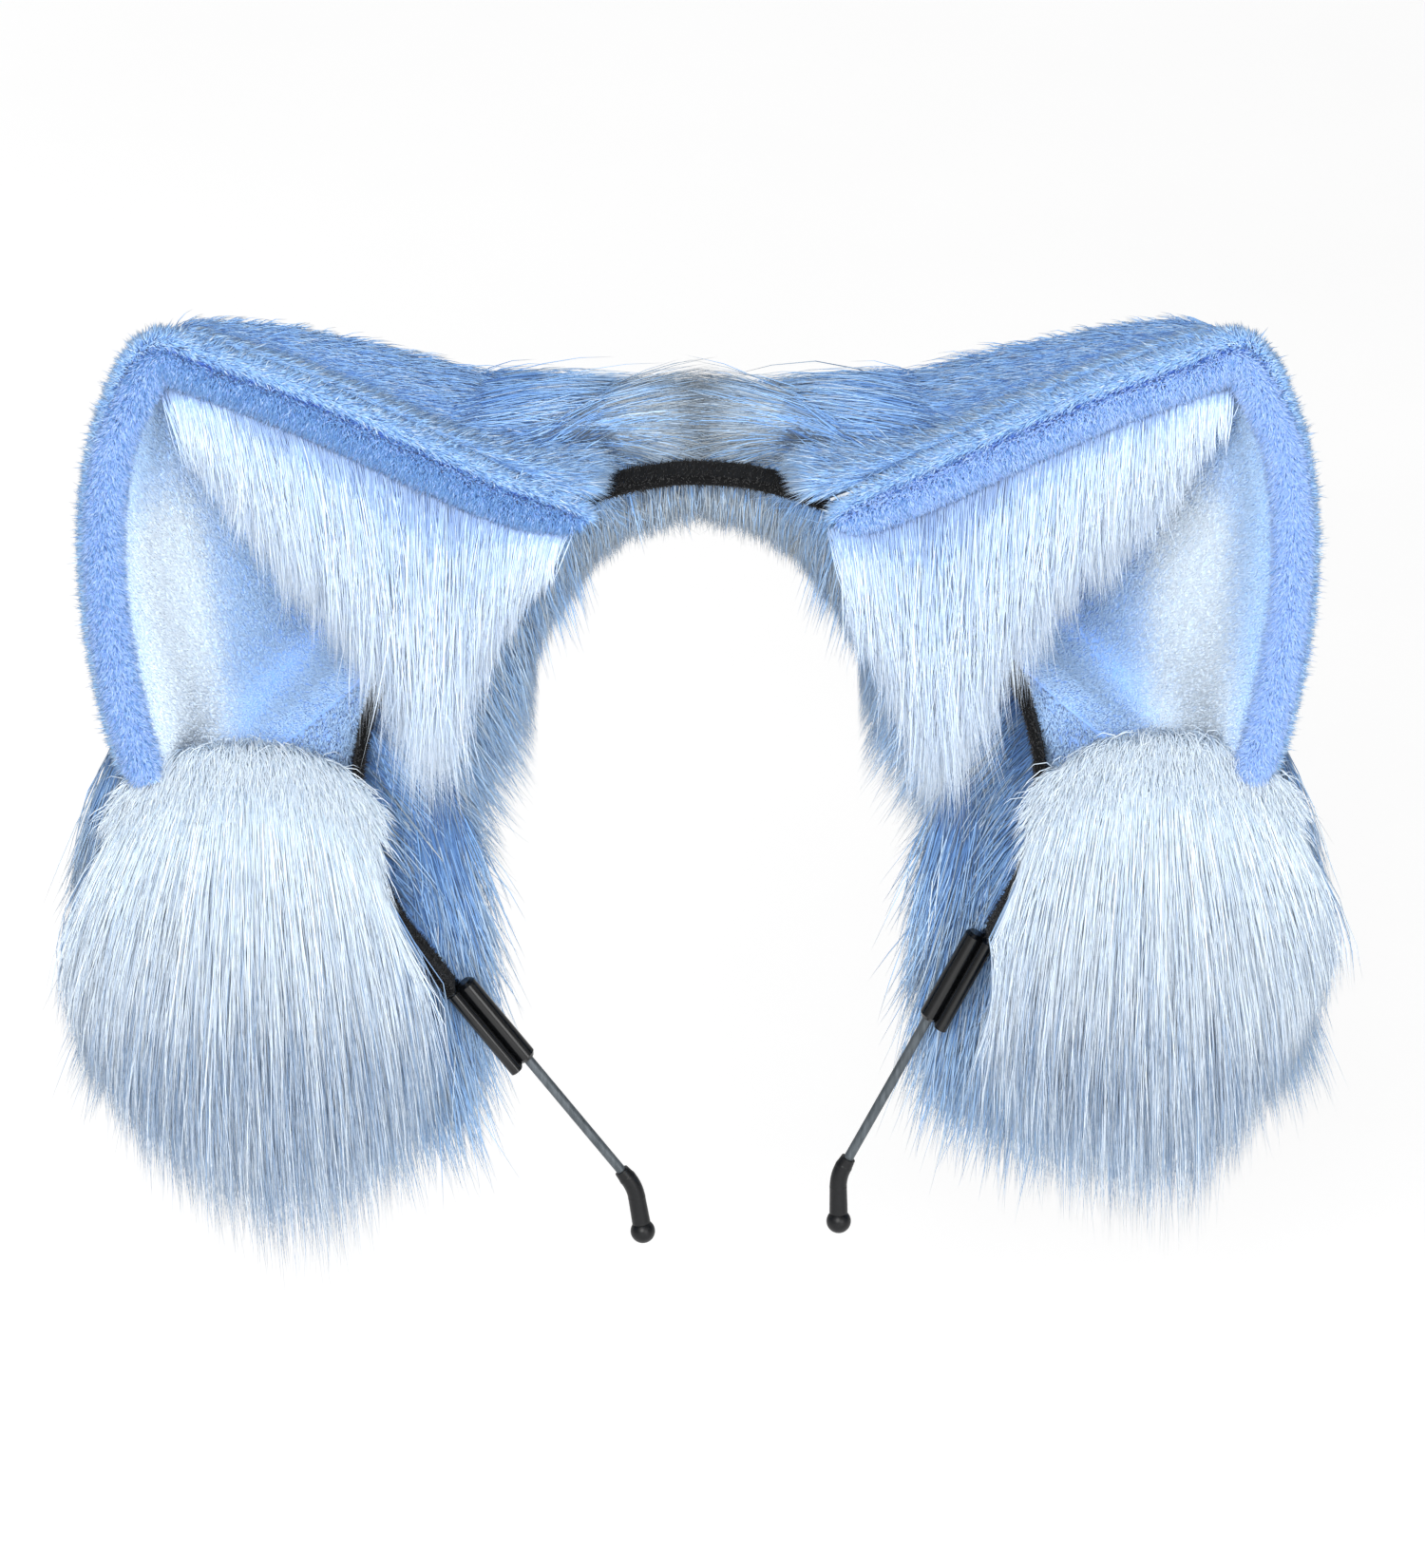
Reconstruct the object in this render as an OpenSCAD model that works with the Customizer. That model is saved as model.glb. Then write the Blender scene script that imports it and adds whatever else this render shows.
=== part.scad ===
// Animal ears headband: two cupped faux fur ears with long tufts, sewn to a thin
// ribbon wrapped spring hoop whose wire arms slide in and out of end sleeves.
// Millimetres. -Y is forward, +Z up; left (-X) and right (+X) are as seen from the
// front. The origin is the seat on the head: the middle of the hoop's crown, on its
// inner face.

/* [Hoop] */
// Radius of the crown arc, to the inner face of the wrapped hoop
crown_r = 54; // [50:1:60]
// Angle of the crown arc on each side of the middle
crown_a = 20; // [16:1:24]
// Radius of the side arc, right side
side_r_right = 72; // [68:1:76]
// Angle of the side arc, right side
side_a_right = 48; // [44:1:50]
// Radius of the side arc, left side
side_r_left = 70.5; // [68:0.5:76]
// Angle of the side arc, left side
side_a_left = 54; // [50:1:56]
// Radius of the lower arc that turns the ends inwards
low_r = 54; // [50:1:58]
// Lean of the right arm from the vertical
lean_right = 27.3; // [24:0.1:32]
// Lean of the left arm from the vertical
lean_left = 37.2; // [32:0.1:40]
// Width of the spring steel strip, front to back
strip_w = 6; // [5:0.5:6.5]
// Thickness of the spring steel strip
strip_t = 0.8; // [0.6:0.1:0.9]
// Width of the velvet ribbon that covers the strip
wrap_w = 8; // [7.5:0.5:8.5]
// Thickness over the velvet ribbon
wrap_t = 1.8; // [1.7:0.1:2]

/* [Sleeves and arms] */
// Length of an end sleeve
sleeve_l = 20; // [18:1:22]
// Width of a sleeve's strip pocket, front to back
sleeve_w = 7.6; // [7:0.2:8]
// Outer diameter of a sleeve's wire barrel
barrel_d = 4; // [3.8:0.1:4.4]
// Diameter of a wire arm
wire_d = 1.9; // [1.7:0.1:2]
// Radial play of a wire arm in the mouth of its sleeve
play = 0.05; // [0.03:0.01:0.1]
// Wire showing between sleeve and tip, right arm
out_right = 33; // [31:0.5:33.5]
// Wire showing between sleeve and tip, left arm
out_left = 29.5; // [28:0.5:33.5]
// Diameter of the ball at the end of a rubber tip
ball_d = 4.7; // [4.2:0.1:5.2]
// Bend of a rubber tip
tip_bend = 28; // [20:1:32]

/* [Ears] */
// Reach of the ears from the middle to their outer edge
ear_x = 117; // [112:1:120]
// Height of the ear tips above the hoop's crown
ear_z = 31; // [26:1:32]
// Depth of an ear cup, front to back
ear_depth = 56; // [50:1:60]
// Half thickness of the rolled rim
rim_r = 4.2; // [3.6:0.1:4.6]
// Thickness of the inner plush panel
plush_t = 1.8; // [1.4:0.1:2]
// Thickness of the foam interlining
foam_t = 2.4; // [2:0.1:3]
// Thickness of the fur back, with its packed pile
fur_t = 6; // [5:0.5:8]

/* [Tufts] */
// Lowest point of the base tufts
tuft_z = -154; // [-156:1:-148]
// Forward bulge of a base tuft
tuft_d = 27; // [24:1:30]
// Backward bulge of a back skirt
skirt_d = 27; // [24:1:30]

/* [Hidden] */
$fn = 48;

// ---- hoop centreline, each side a crown arc, a side arc and a lower arc ----
// s is +1 on the right and -1 on the left; angles are from the vertical.
z0 = wrap_t / 2;                       // centreline height over the seat
rc = crown_r + wrap_t / 2;             // crown radius to the centreline
function side_r(s) = s > 0 ? side_r_right : side_r_left;
function side_a(s) = s > 0 ? side_a_right : side_a_left;
function lean(s) = s > 0 ? lean_right : lean_left;
function out_l(s) = s > 0 ? out_right : out_left;
// centres of the three arcs, on the right side's axes
function c1(s) = [0, z0 - rc];
function c2(s) = c1(s) + (rc - side_r(s)) * [sin(crown_a), cos(crown_a)];
function a2(s) = crown_a + side_a(s);
function c3(s) = c2(s) + (side_r(s) - low_r) * [sin(a2(s)), cos(a2(s))];
function a3(s) = 90 + lean(s);
function hoop_end(s) = c3(s) + low_r * [sin(a3(s)), cos(a3(s))];
// sleeve top, measured down the straight from the end of the lower arc
function sleeve_at(s) = s > 0 ? 8.1 : 11.5;

// Points along one side at a distance d outside the centreline, from angle f to
// angle g from the vertical, then down the straight end for a length l
function rail(s, d, f, g, l) = let (st = 2.5)
  [for (p = concat(
    [for (a = [f:st:min(g, crown_a) - 0.5]) c1(s) + (rc + d) * [sin(a), cos(a)]],
    [for (a = [max(f, crown_a):st:min(g, a2(s)) - 0.5]) c2(s) + (side_r(s) + d) * [sin(a), cos(a)]],
    [for (a = [max(f, a2(s)):st:min(g, a3(s)) - 0.5]) c3(s) + (low_r + d) * [sin(a), cos(a)]],
    [g < a2(s) ? c2(s) + (side_r(s) + d) * [sin(g), cos(g)] : c3(s) + (low_r + d) * [sin(g), cos(g)]],
    l > 0 ? [c3(s) + (low_r + d) * [sin(g), cos(g)] + l * [-sin(lean(s)), -cos(lean(s))]] : []))
    [s * p[0], p[1]]];
function flip(v) = [for (i = [len(v) - 1:-1:0]) v[i]];

// The whole hoop's bar, w wide and t thick, with straight ends of length l + sleeve_at
module hoop_bar(w, t, l)
  rotate([90, 0, 0]) linear_extrude(w, center = true) polygon(concat(
    flip(rail(-1, t / 2, 1.25, a3(-1), sleeve_at(-1) + l)), [[0, z0 + t / 2]],
    rail(1, t / 2, 1.25, a3(1), sleeve_at(1) + l),
    flip(rail(1, -t / 2, 1.25, a3(1), sleeve_at(1) + l)), [[0, z0 - t / 2]],
    rail(-1, -t / 2, 1.25, a3(-1), sleeve_at(-1) + l)));

// A strip that follows the hoop on one side, between two distances from the centreline
module hoop_strip(s, w, d0, d1, f, g)
  rotate([90, 0, 0]) linear_extrude(w, center = true)
    polygon(concat(rail(s, d1, f, g, 0), flip(rail(s, d0, f, g, 0))));

// Mirror onto the left when s is negative
module scale_x(s) { if (s > 0) children(); else mirror([1, 0, 0]) children(); }

// Local frame of a side's straight end: origin at the sleeve top, -Z down the arm,
// +X away from the head
module at_sleeve(s)
  scale_x(s) translate([hoop_end(s)[0], 0, hoop_end(s)[1]]) rotate([0, lean(s), 0])
    translate([0, 0, -sleeve_at(s)]) children();

module spring_strip() color([0.42, 0.43, 0.45]) hoop_bar(strip_w, strip_t, 14);

module velvet_wrap() color([0.03, 0.03, 0.035]) difference() {
  hoop_bar(wrap_w, wrap_t, -0.4);
  hoop_bar(strip_w + 0.1, strip_t + 0.1, 2);
}

// ---- sleeves: a strip pocket and a wire barrel side by side ----
bx = -2.5;               // the wire's axis, inwards of the strip
lip = 3.5;               // length of the mouth that guides the wire
roof = 1.5;              // closed top of the barrel
collar_l = 2;
collar_d = 2.8;

module sleeve_solid() difference() {
  union() {
    translate([0, 0, -sleeve_l]) linear_extrude(sleeve_l) union() {
      translate([-1.25, -sleeve_w / 2 + 1.25]) square([2.5, sleeve_w - 2.5]);
      for (y = [-1, 1]) translate([0, y * (sleeve_w / 2 - 1.25)]) circle(d = 2.5);
    }
    translate([bx, 0, -sleeve_l + 0.7]) cylinder(d = barrel_d, h = sleeve_l - 1.4);
    translate([bx, 0, -sleeve_l]) cylinder(d1 = barrel_d - 1, d2 = barrel_d, h = 0.7);
    translate([bx, 0, -0.7]) cylinder(d1 = barrel_d, d2 = barrel_d - 1.2, h = 0.7);
    translate([bx, -1.3, -sleeve_l + 0.7]) cube([2, 2.6, sleeve_l - 1.4]);
  }
  // strip pocket
  translate([-strip_t / 2 - 0.05, -strip_w / 2 - 0.05, -14.2])
    cube([strip_t + 0.1, strip_w + 0.1, 15]);
  // wire barrel: guide mouth and collar chamber
  translate([bx, 0, -sleeve_l - 1]) cylinder(d = wire_d + 2 * play, h = lip + 1.5);
  translate([bx, 0, -sleeve_l + lip]) cylinder(d = 3, h = sleeve_l - lip - roof);
}

module sleeve(s) color([0.04, 0.042, 0.045]) at_sleeve(s) sleeve_solid();

// ---- arms ----
// Wire from its inner end in the chamber to the start of the rubber tip
function wire_top(s) = -sleeve_l + lip + 0.1 + collar_l + 33.5 - out_l(s);
function tip_z(s) = -sleeve_l - out_l(s);
bend_r = 9;
module wire_path(s, d) {
  translate([bx, 0, tip_z(s) - 2]) cylinder(d = d, h = wire_top(s) - tip_z(s) + 2);
  translate([bx, 0, tip_z(s) - 2]) sphere(d = d + 0.06);
  translate([bx - bend_r, 0, tip_z(s) - 2]) rotate([90, 0, 0]) rotate([0, 0, -tip_bend])
    rotate_extrude(angle = tip_bend, $fn = 96) translate([bend_r, 0]) circle(d = d, $fn = 32);
}
module arm_wire(s) color([0.36, 0.38, 0.40]) at_sleeve(s) mirror_bend() wire_path(s, wire_d);

// The tip turns back towards the vertical, away from the middle of the head
module mirror_bend() translate([bx, 0, 0]) mirror([1, 0, 0]) translate([-bx, 0, 0]) children();

module stop_collar(s) color([0.6, 0.6, 0.6]) at_sleeve(s) difference() {
  translate([bx, 0, wire_top(s) - collar_l]) cylinder(d = collar_d, h = collar_l);
  translate([bx, 0, wire_top(s) - collar_l - 1]) cylinder(d = wire_d + 0.02, h = collar_l + 3);
}

module rubber_tip(s) color([0.05, 0.05, 0.055]) at_sleeve(s) mirror_bend() difference() {
  union() {
    translate([bx, 0, tip_z(s) - 2]) cylinder(d1 = 3.3, d2 = 2.8, h = 2);
    translate([bx, 0, tip_z(s) - 2]) sphere(d = 3.36);
    translate([bx - bend_r, 0, tip_z(s) - 2]) rotate([90, 0, 0]) rotate([0, 0, -tip_bend])
      rotate_extrude(angle = tip_bend, $fn = 96) translate([bend_r, 0]) circle(d = 3.3, $fn = 48);
    translate([bx - bend_r, 0, tip_z(s) - 2]) rotate([0, tip_bend, 0]) translate([bend_r, 0, 0]) {
      sphere(d = 3.36);
      translate([0, 0, -5.4]) cylinder(d1 = 3.5, d2 = 3.3, h = 5.4);
      translate([0, 0, -7.2]) sphere(d = ball_d);
    }
  }
  wire_path(s, wire_d + 0.04);
}

// ---- ears: curves and the cup surface, on the right side ----
function bez(a, b, c, d, u) =
  a * pow(1 - u, 3) + b * 3 * u * pow(1 - u, 2) + c * 3 * u * u * (1 - u) + d * pow(u, 3);
// front rim, from the inner corner over the tip to the outer foot
corner = [25, -5, 0];
tip_u = [ear_x - 19, -2, ear_z];
tip_o = [ear_x - 9, -2, ear_z - 12];
foot = [ear_x - 12, -3, -58];
function rim_u(t) = bez(corner, corner + [26, 0, 10], tip_u + [-30, 0, -9], tip_u, t);
function rim_o(t) = bez(foot, foot + [8, 0, 26], tip_o + [8, 0, -22], tip_o, t);
// how far the section bulges back at t: it rises from the base, where the ear is
// gathered onto the hoop, is fullest at a quarter of the height, and dies at the tip
function bulge(t) = (0.34 + 0.66 * sin(90 * min(1, t / 0.26))) * pow(max(0, 1 - t), 0.62) * (1.14 - 0.14 * t);
function cup(s, t) =
  let (u0 = rim_u(t) + [1.2, 3.2, -3.4 + 6.5 * max(0, 1 - t / 0.35)],
       o0 = rim_o(t) + [-3.8, 0, 0.6 + 3 * max(0, 1 - t / 0.3)], k = bulge(t))
  bez(u0, u0 + k * [-30, ear_depth + 2, 26], o0 + k * [-26, ear_depth - 6, -22], o0, s)
  + pow(1 - t, 1.5) * sin(180 * pow(max(0, s), 1.6)) * [0, 0, -13];
function unit(v) = v / max(1e-9, norm(v));
function cup_n(s, t) = let (e = 0.004)
  unit(cross(cup(s + e, min(t, 0.985)) - cup(s - e, min(t, 0.985)),
             cup(s, min(t, 0.985) - e) - cup(s, min(t, 0.985) + e)));
function cup_p(s, t, d) = cup(s, t) + d * cup_n(s, t);

// A closed solid between two surfaces given as equal grids of points
module between(g, h) {
  m = len(g); n = len(g[0]);
  pts = [for (i = [0:m - 1]) for (j = [0:n - 1]) g[i][j],
         for (i = [0:m - 1]) for (j = [0:n - 1]) h[i][j]];
  k = m * n;
  function id(i, j) = i * n + j;
  faces = concat(
    [for (i = [0:m - 2]) for (j = [0:n - 2]) [id(i, j), id(i, j + 1), id(i + 1, j + 1)]],
    [for (i = [0:m - 2]) for (j = [0:n - 2]) [id(i, j), id(i + 1, j + 1), id(i + 1, j)]],
    [for (i = [0:m - 2]) for (j = [0:n - 2]) [k + id(i, j), k + id(i + 1, j + 1), k + id(i, j + 1)]],
    [for (i = [0:m - 2]) for (j = [0:n - 2]) [k + id(i, j), k + id(i + 1, j), k + id(i + 1, j + 1)]],
    [for (i = [0:m - 2]) [id(i, 0), id(i + 1, 0), k + id(i + 1, 0)]],
    [for (i = [0:m - 2]) [id(i, 0), k + id(i + 1, 0), k + id(i, 0)]],
    [for (i = [0:m - 2]) [id(i, n - 1), k + id(i + 1, n - 1), id(i + 1, n - 1)]],
    [for (i = [0:m - 2]) [id(i, n - 1), k + id(i, n - 1), k + id(i + 1, n - 1)]],
    [for (j = [0:n - 2]) [id(0, j), k + id(0, j + 1), id(0, j + 1)]],
    [for (j = [0:n - 2]) [id(0, j), k + id(0, j), k + id(0, j + 1)]],
    [for (j = [0:n - 2]) [id(m - 1, j), id(m - 1, j + 1), k + id(m - 1, j + 1)]],
    [for (j = [0:n - 2]) [id(m - 1, j), k + id(m - 1, j + 1), k + id(m - 1, j)]]);
  polyhedron(points = pts, faces = faces, convexity = 6);
}

ns = 16; nt = 12;
// A layer of the cup between two distances from its middle surface
module layer(d0, d1, s0 = 0, s1 = 1, t0 = 0, t1 = 0.995)
  between([for (i = [0:ns]) [for (j = [0:nt]) cup_p(s0 + (s1 - s0) * i / ns, t0 + (t1 - t0) * j / nt, d0)]],
          [for (i = [0:ns]) [for (j = [0:nt]) cup_p(s0 + (s1 - s0) * i / ns, t0 + (t1 - t0) * j / nt, d1)]]);

g1 = 0.3;                              // gap between sewn layers
module fur_back(s) color([0.51, 0.67, 0.88]) scale_x(s)
  layer(foam_t / 2 + g1, foam_t / 2 + g1 + fur_t);
module foam_liner(s) color([0.85, 0.86, 0.88]) scale_x(s) layer(-foam_t / 2, foam_t / 2);
module plush_inner(s) color([0.66, 0.79, 0.97]) scale_x(s)
  layer(-foam_t / 2 - g1 - plush_t, -foam_t / 2 - g1);

// ---- rim: a rolled hem round the mouth of the cup, over a bendable wire ----
nr = 36;
rim_y = -rim_r - 1.4;                  // the roll sits just in front of the layers
function rim_c(u) =
  u < 0.45 ? rim_u(u / 0.45) + [0, rim_y, 0]
  : u > 0.55 ? rim_o((1 - u) / 0.45) + [0, rim_y, 0]
  : let (a = (u - 0.45) / 0.1) bez(tip_u, tip_u + [6, 0, 2], tip_o + [-1.5, 0, 6], tip_o, a) + [0, rim_y, 0];
function rim_t(u) = unit(rim_c(min(1, u + 0.01)) - rim_c(max(0, u - 0.01)));
function rim_ring(u, r, n) = let (t = rim_t(u), a = unit(cross(t, [0, 1, 0])), b = [0, 1, 0])
  [for (k = [0:n - 1]) rim_c(u) + r * (cos(360 * k / n) * a + 0.8 * sin(360 * k / n) * b)];

// A tube swept along the rim, hollow where r0 is over zero
module rim_tube(r1, r0, n) {
  us = [for (i = [0:nr]) i / nr];
  out = [for (u = us) each rim_ring(u, r1, n)];
  inn = [for (u = us) each rim_ring(u, max(r0, 0.1), n)];
  k = n * (nr + 1);
  function w(i, j) = i * n + (j % n);
  side = [for (i = [0:nr - 1]) for (j = [0:n - 1]) each
    [[w(i, j), w(i + 1, j + 1), w(i + 1, j)], [w(i, j), w(i, j + 1), w(i + 1, j + 1)]]];
  iside = [for (f = side) [k + f[0], k + f[2], k + f[1]]];
  caps = [for (j = [0:n - 1]) each
    [[w(0, j), k + w(0, j + 1), w(0, j + 1)], [w(0, j), k + w(0, j), k + w(0, j + 1)],
     [w(nr, j), w(nr, j + 1), k + w(nr, j + 1)], [w(nr, j), k + w(nr, j + 1), k + w(nr, j)]]];
  solid_caps = [[for (j = [n - 1:-1:0]) j], [for (j = [0:n - 1]) w(nr, j)]];
  if (r0 > 0) polyhedron(points = concat(out, inn), faces = concat(side, iside, caps), convexity = 8);
  else polyhedron(points = out, faces = concat(side, solid_caps), convexity = 8);
}
module rim_roll(s) color([0.58, 0.73, 0.96]) scale_x(s) rim_tube(rim_r, 0.9, 10);
module rim_wire(s) color([0.7, 0.7, 0.72]) scale_x(s) rim_tube(0.7, 0, 8);

// ---- tufts ----
// Upper tuft: a curtain of long pile under the upper rim. v runs along the rim.
function ut_root(v) = rim_u(0.05 + 0.87 * v) + [1.5 - 3 * v, rim_y, -rim_r - 1.6];
function ut_drop(v) = 24 + 30 * pow(sin(180 * min(1, v + 0.12)), 1.6) * (1 - 0.55 * v) - 5 * (1 - v);
function ut_p(v, w, side) = ut_root(v)
  + [6 * (0.5 - v) * w, -3 * w, -ut_drop(v) * w]
  + [0, side * (3.6 * (1 - w * w) + 0.5), 0];
module upper_tuft(s) color([0.88, 0.93, 0.98]) scale_x(s)
  between([for (i = [0:12]) [for (j = [0:5]) ut_p(i / 12, j / 5, 1)]],
          [for (i = [0:12]) [for (j = [0:5]) ut_p(i / 12, j / 5, -1)]]);

// Lobes: a flat side towards the hoop and a rounded one away from it.
// q runs from the top, 0, to the bottom, 1.
function lobe_w(q, top) = let (a = sin(90 * min(1, q / 0.5)), b = q > 0.5 ? sqrt(max(0, 1 - pow((q - 0.5) / 0.5, 2.4))) : 1)
  (top + (1 - top) * a) * b;
module lobe(xt, xb, zt, zb, w, d, y0, dir, top, n = 12, m = 14) {
  function ring(q) = let (k = max(0.05, lobe_w(q, top)), x = xt + (xb - xt) * q, z = zt + (zb - zt) * q)
    [for (j = [0:n]) let (a = 180 * j / n)
      [x + w / 2 * k * cos(a), y0 + dir * (0.4 + d * pow(k, 0.8) * sin(a)), z],
     [x - w / 2 * k, y0, z], [x + w / 2 * k, y0, z]];
  rows = [for (i = [0:m]) ring(i / m)];
  c = n + 3;
  pts = [for (r = rows) each r];
  side = [for (i = [0:m - 1]) for (j = [0:c - 1]) each
    [[i * c + j, (i + 1) * c + (j + 1) % c, (i + 1) * c + j], [i * c + j, i * c + (j + 1) % c, (i + 1) * c + (j + 1) % c]]];
  caps = [[for (j = [c - 1:-1:0]) j], [for (j = [0:c - 1]) m * c + j]];
  f = concat(side, caps);
  polyhedron(points = pts, faces = dir > 0 ? f : [for (q = f) [for (i = [len(q) - 1:-1:0]) q[i]]], convexity = 2);
}
module base_tuft(s) color([0.86, 0.91, 0.95]) scale_x(s)
  lobe(85, 84, -63, tuft_z, 78, tuft_d, -5, -1, 0.66);
module back_skirt(s) color([0.44, 0.6, 0.78]) scale_x(s)
  lobe(78, 79, -76, tuft_z, 80, skirt_d, 5, 1, 0.76);

// ---- base: felt strip outside the hoop, and the loops that hold it ----
module base_felt(s) color([0.1, 0.1, 0.11])
  hoop_strip(s, 11, wrap_t / 2 + 1, wrap_t / 2 + 2.2, crown_a + 5, crown_a + 42);
module band_loops(s) color([0.08, 0.08, 0.09]) for (a = [8, 23, 38]) difference() {
  hoop_strip(s, wrap_w + 1.4, -wrap_t / 2 - 0.7, wrap_t / 2 + 0.7, crown_a + a - 2.2, crown_a + a + 2.2);
  hoop_strip(s, wrap_w + 0.1, -wrap_t / 2 - 0.05, wrap_t / 2 + 0.05, crown_a + a - 4, crown_a + a + 4);
}

spring_strip();
velvet_wrap();
sleeve(-1);  // left_sleeve
sleeve(1);  // right_sleeve
arm_wire(-1);  // left_arm_wire
arm_wire(1);  // right_arm_wire
stop_collar(-1);  // left_stop_collar
stop_collar(1);  // right_stop_collar
rubber_tip(-1);  // left_rubber_tip
rubber_tip(1);  // right_rubber_tip
band_loops(-1);  // left_band_loops
band_loops(1);  // right_band_loops
base_felt(-1);  // left_base_felt
base_felt(1);  // right_base_felt
fur_back(-1);  // left_fur_back
fur_back(1);  // right_fur_back
foam_liner(-1);  // left_foam_liner
foam_liner(1);  // right_foam_liner
plush_inner(-1);  // left_plush_inner
plush_inner(1);  // right_plush_inner
rim_roll(-1);  // left_rim_roll
rim_roll(1);  // right_rim_roll
rim_wire(-1);  // left_rim_wire
rim_wire(1);  // right_rim_wire
upper_tuft(-1);  // left_upper_tuft
upper_tuft(1);  // right_upper_tuft
base_tuft(-1);  // left_base_tuft
base_tuft(1);  // right_base_tuft
back_skirt(-1);  // left_back_skirt
back_skirt(1);  // right_back_skirt
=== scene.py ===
import math

import bpy
import numpy as np
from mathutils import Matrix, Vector


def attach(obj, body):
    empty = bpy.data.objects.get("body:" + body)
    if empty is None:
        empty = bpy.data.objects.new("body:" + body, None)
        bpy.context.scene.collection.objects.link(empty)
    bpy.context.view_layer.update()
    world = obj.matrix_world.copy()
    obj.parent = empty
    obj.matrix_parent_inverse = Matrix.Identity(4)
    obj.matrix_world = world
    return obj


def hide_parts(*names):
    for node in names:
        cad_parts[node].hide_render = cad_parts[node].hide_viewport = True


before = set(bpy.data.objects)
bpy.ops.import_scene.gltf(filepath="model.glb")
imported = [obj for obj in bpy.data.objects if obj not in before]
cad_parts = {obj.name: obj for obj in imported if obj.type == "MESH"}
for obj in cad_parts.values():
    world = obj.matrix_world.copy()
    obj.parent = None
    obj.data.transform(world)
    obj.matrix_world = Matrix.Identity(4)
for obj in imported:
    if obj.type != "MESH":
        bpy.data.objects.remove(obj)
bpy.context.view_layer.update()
MM = 0.001
SIDES = (("right", 1.0), ("left", -1.0))

# ------------------------------------------------------------------ colours


def lin(r, g, b):
    out = []
    for c in (r, g, b):
        c = c / 255.0
        out.append(c / 12.92 if c <= 0.04045 else ((c + 0.055) / 1.055) ** 2.4)
    return (*out, 1.0)


def principled(name, colour, rough=0.6, sheen=0.0, metallic=0.0, coat=0.0, spec=0.5):
    m = bpy.data.materials.new(name)
    m.use_nodes = True
    b = m.node_tree.nodes["Principled BSDF"]
    b.inputs["Base Color"].default_value = colour
    b.inputs["Roughness"].default_value = rough
    b.inputs["Metallic"].default_value = metallic
    b.inputs["Coat Weight"].default_value = coat
    b.inputs["Coat Roughness"].default_value = 0.12
    b.inputs["Specular IOR Level"].default_value = spec
    b.inputs["Sheen Weight"].default_value = sheen
    b.inputs["Sheen Roughness"].default_value = 0.4
    m.diffuse_color = colour
    return m, m.node_tree, b


def patterned(name, dark, light, scale, rough, bump=0.3, dist=0.0003, detail=6.0,
              metallic=0.0, coat=0.0, sheen=0.0, stretch=(1, 1, 1), kind="noise",
              rough_to=None, spec=0.5):
    """A procedural finish: two tones mixed by a texture, with bump and a roughness that varies."""
    m, nt, b = principled(name, dark, rough, sheen, metallic, coat, spec)
    n, l = nt.nodes, nt.links
    tc = n.new("ShaderNodeTexCoord")
    mp = n.new("ShaderNodeMapping")
    mp.inputs["Scale"].default_value = stretch
    l.new(tc.outputs["Object"], mp.inputs["Vector"])
    if kind == "weave":
        t1 = n.new("ShaderNodeTexWave")
        t1.bands_direction = "X"
        t2 = n.new("ShaderNodeTexWave")
        t2.bands_direction = "Z"
        for t in (t1, t2):
            t.inputs["Scale"].default_value = scale
            t.inputs["Distortion"].default_value = 1.2
            t.inputs["Detail"].default_value = 2.0
            l.new(mp.outputs["Vector"], t.inputs["Vector"])
        mix = n.new("ShaderNodeMath")
        mix.operation = "MULTIPLY"
        l.new(t1.outputs["Fac"], mix.inputs[0])
        l.new(t2.outputs["Fac"], mix.inputs[1])
        fac = mix.outputs[0]
    else:
        t = n.new("ShaderNodeTexNoise")
        t.inputs["Scale"].default_value = scale
        t.inputs["Detail"].default_value = detail
        t.inputs["Roughness"].default_value = 0.62
        l.new(mp.outputs["Vector"], t.inputs["Vector"])
        fac = t.outputs["Fac"]
    ramp = n.new("ShaderNodeValToRGB")
    ramp.color_ramp.elements[0].position = 0.32
    ramp.color_ramp.elements[0].color = dark
    ramp.color_ramp.elements[1].position = 0.68
    ramp.color_ramp.elements[1].color = light
    l.new(fac, ramp.inputs["Fac"])
    l.new(ramp.outputs["Color"], b.inputs["Base Color"])
    if rough_to is not None:
        mr = n.new("ShaderNodeMapRange")
        mr.inputs["From Min"].default_value = 0.3
        mr.inputs["From Max"].default_value = 0.7
        mr.inputs["To Min"].default_value = rough
        mr.inputs["To Max"].default_value = rough_to
        l.new(fac, mr.inputs["Value"])
        l.new(mr.outputs["Result"], b.inputs["Roughness"])
    bp = n.new("ShaderNodeBump")
    bp.inputs["Strength"].default_value = bump
    bp.inputs["Distance"].default_value = dist
    l.new(fac, bp.inputs["Height"])
    l.new(bp.outputs["Normal"], b.inputs["Normal"])
    return m


def fibre(name, colour, rough=0.62, spec=0.25, sheen=0.15):
    return principled(name, colour, rough, sheen=sheen, spec=spec)[0]


# fibre tones: each fur is a set of tones, and each tone has a root, a middle and a tip
def tones(name, sets):
    mats = []
    for i, (root, mid, tip) in enumerate(sets):
        for part, c in (("root", root), ("mid", mid), ("tip", tip)):
            mats.append(fibre(f"{name}_{i}_{part}", lin(*c)))
    return mats


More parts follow.
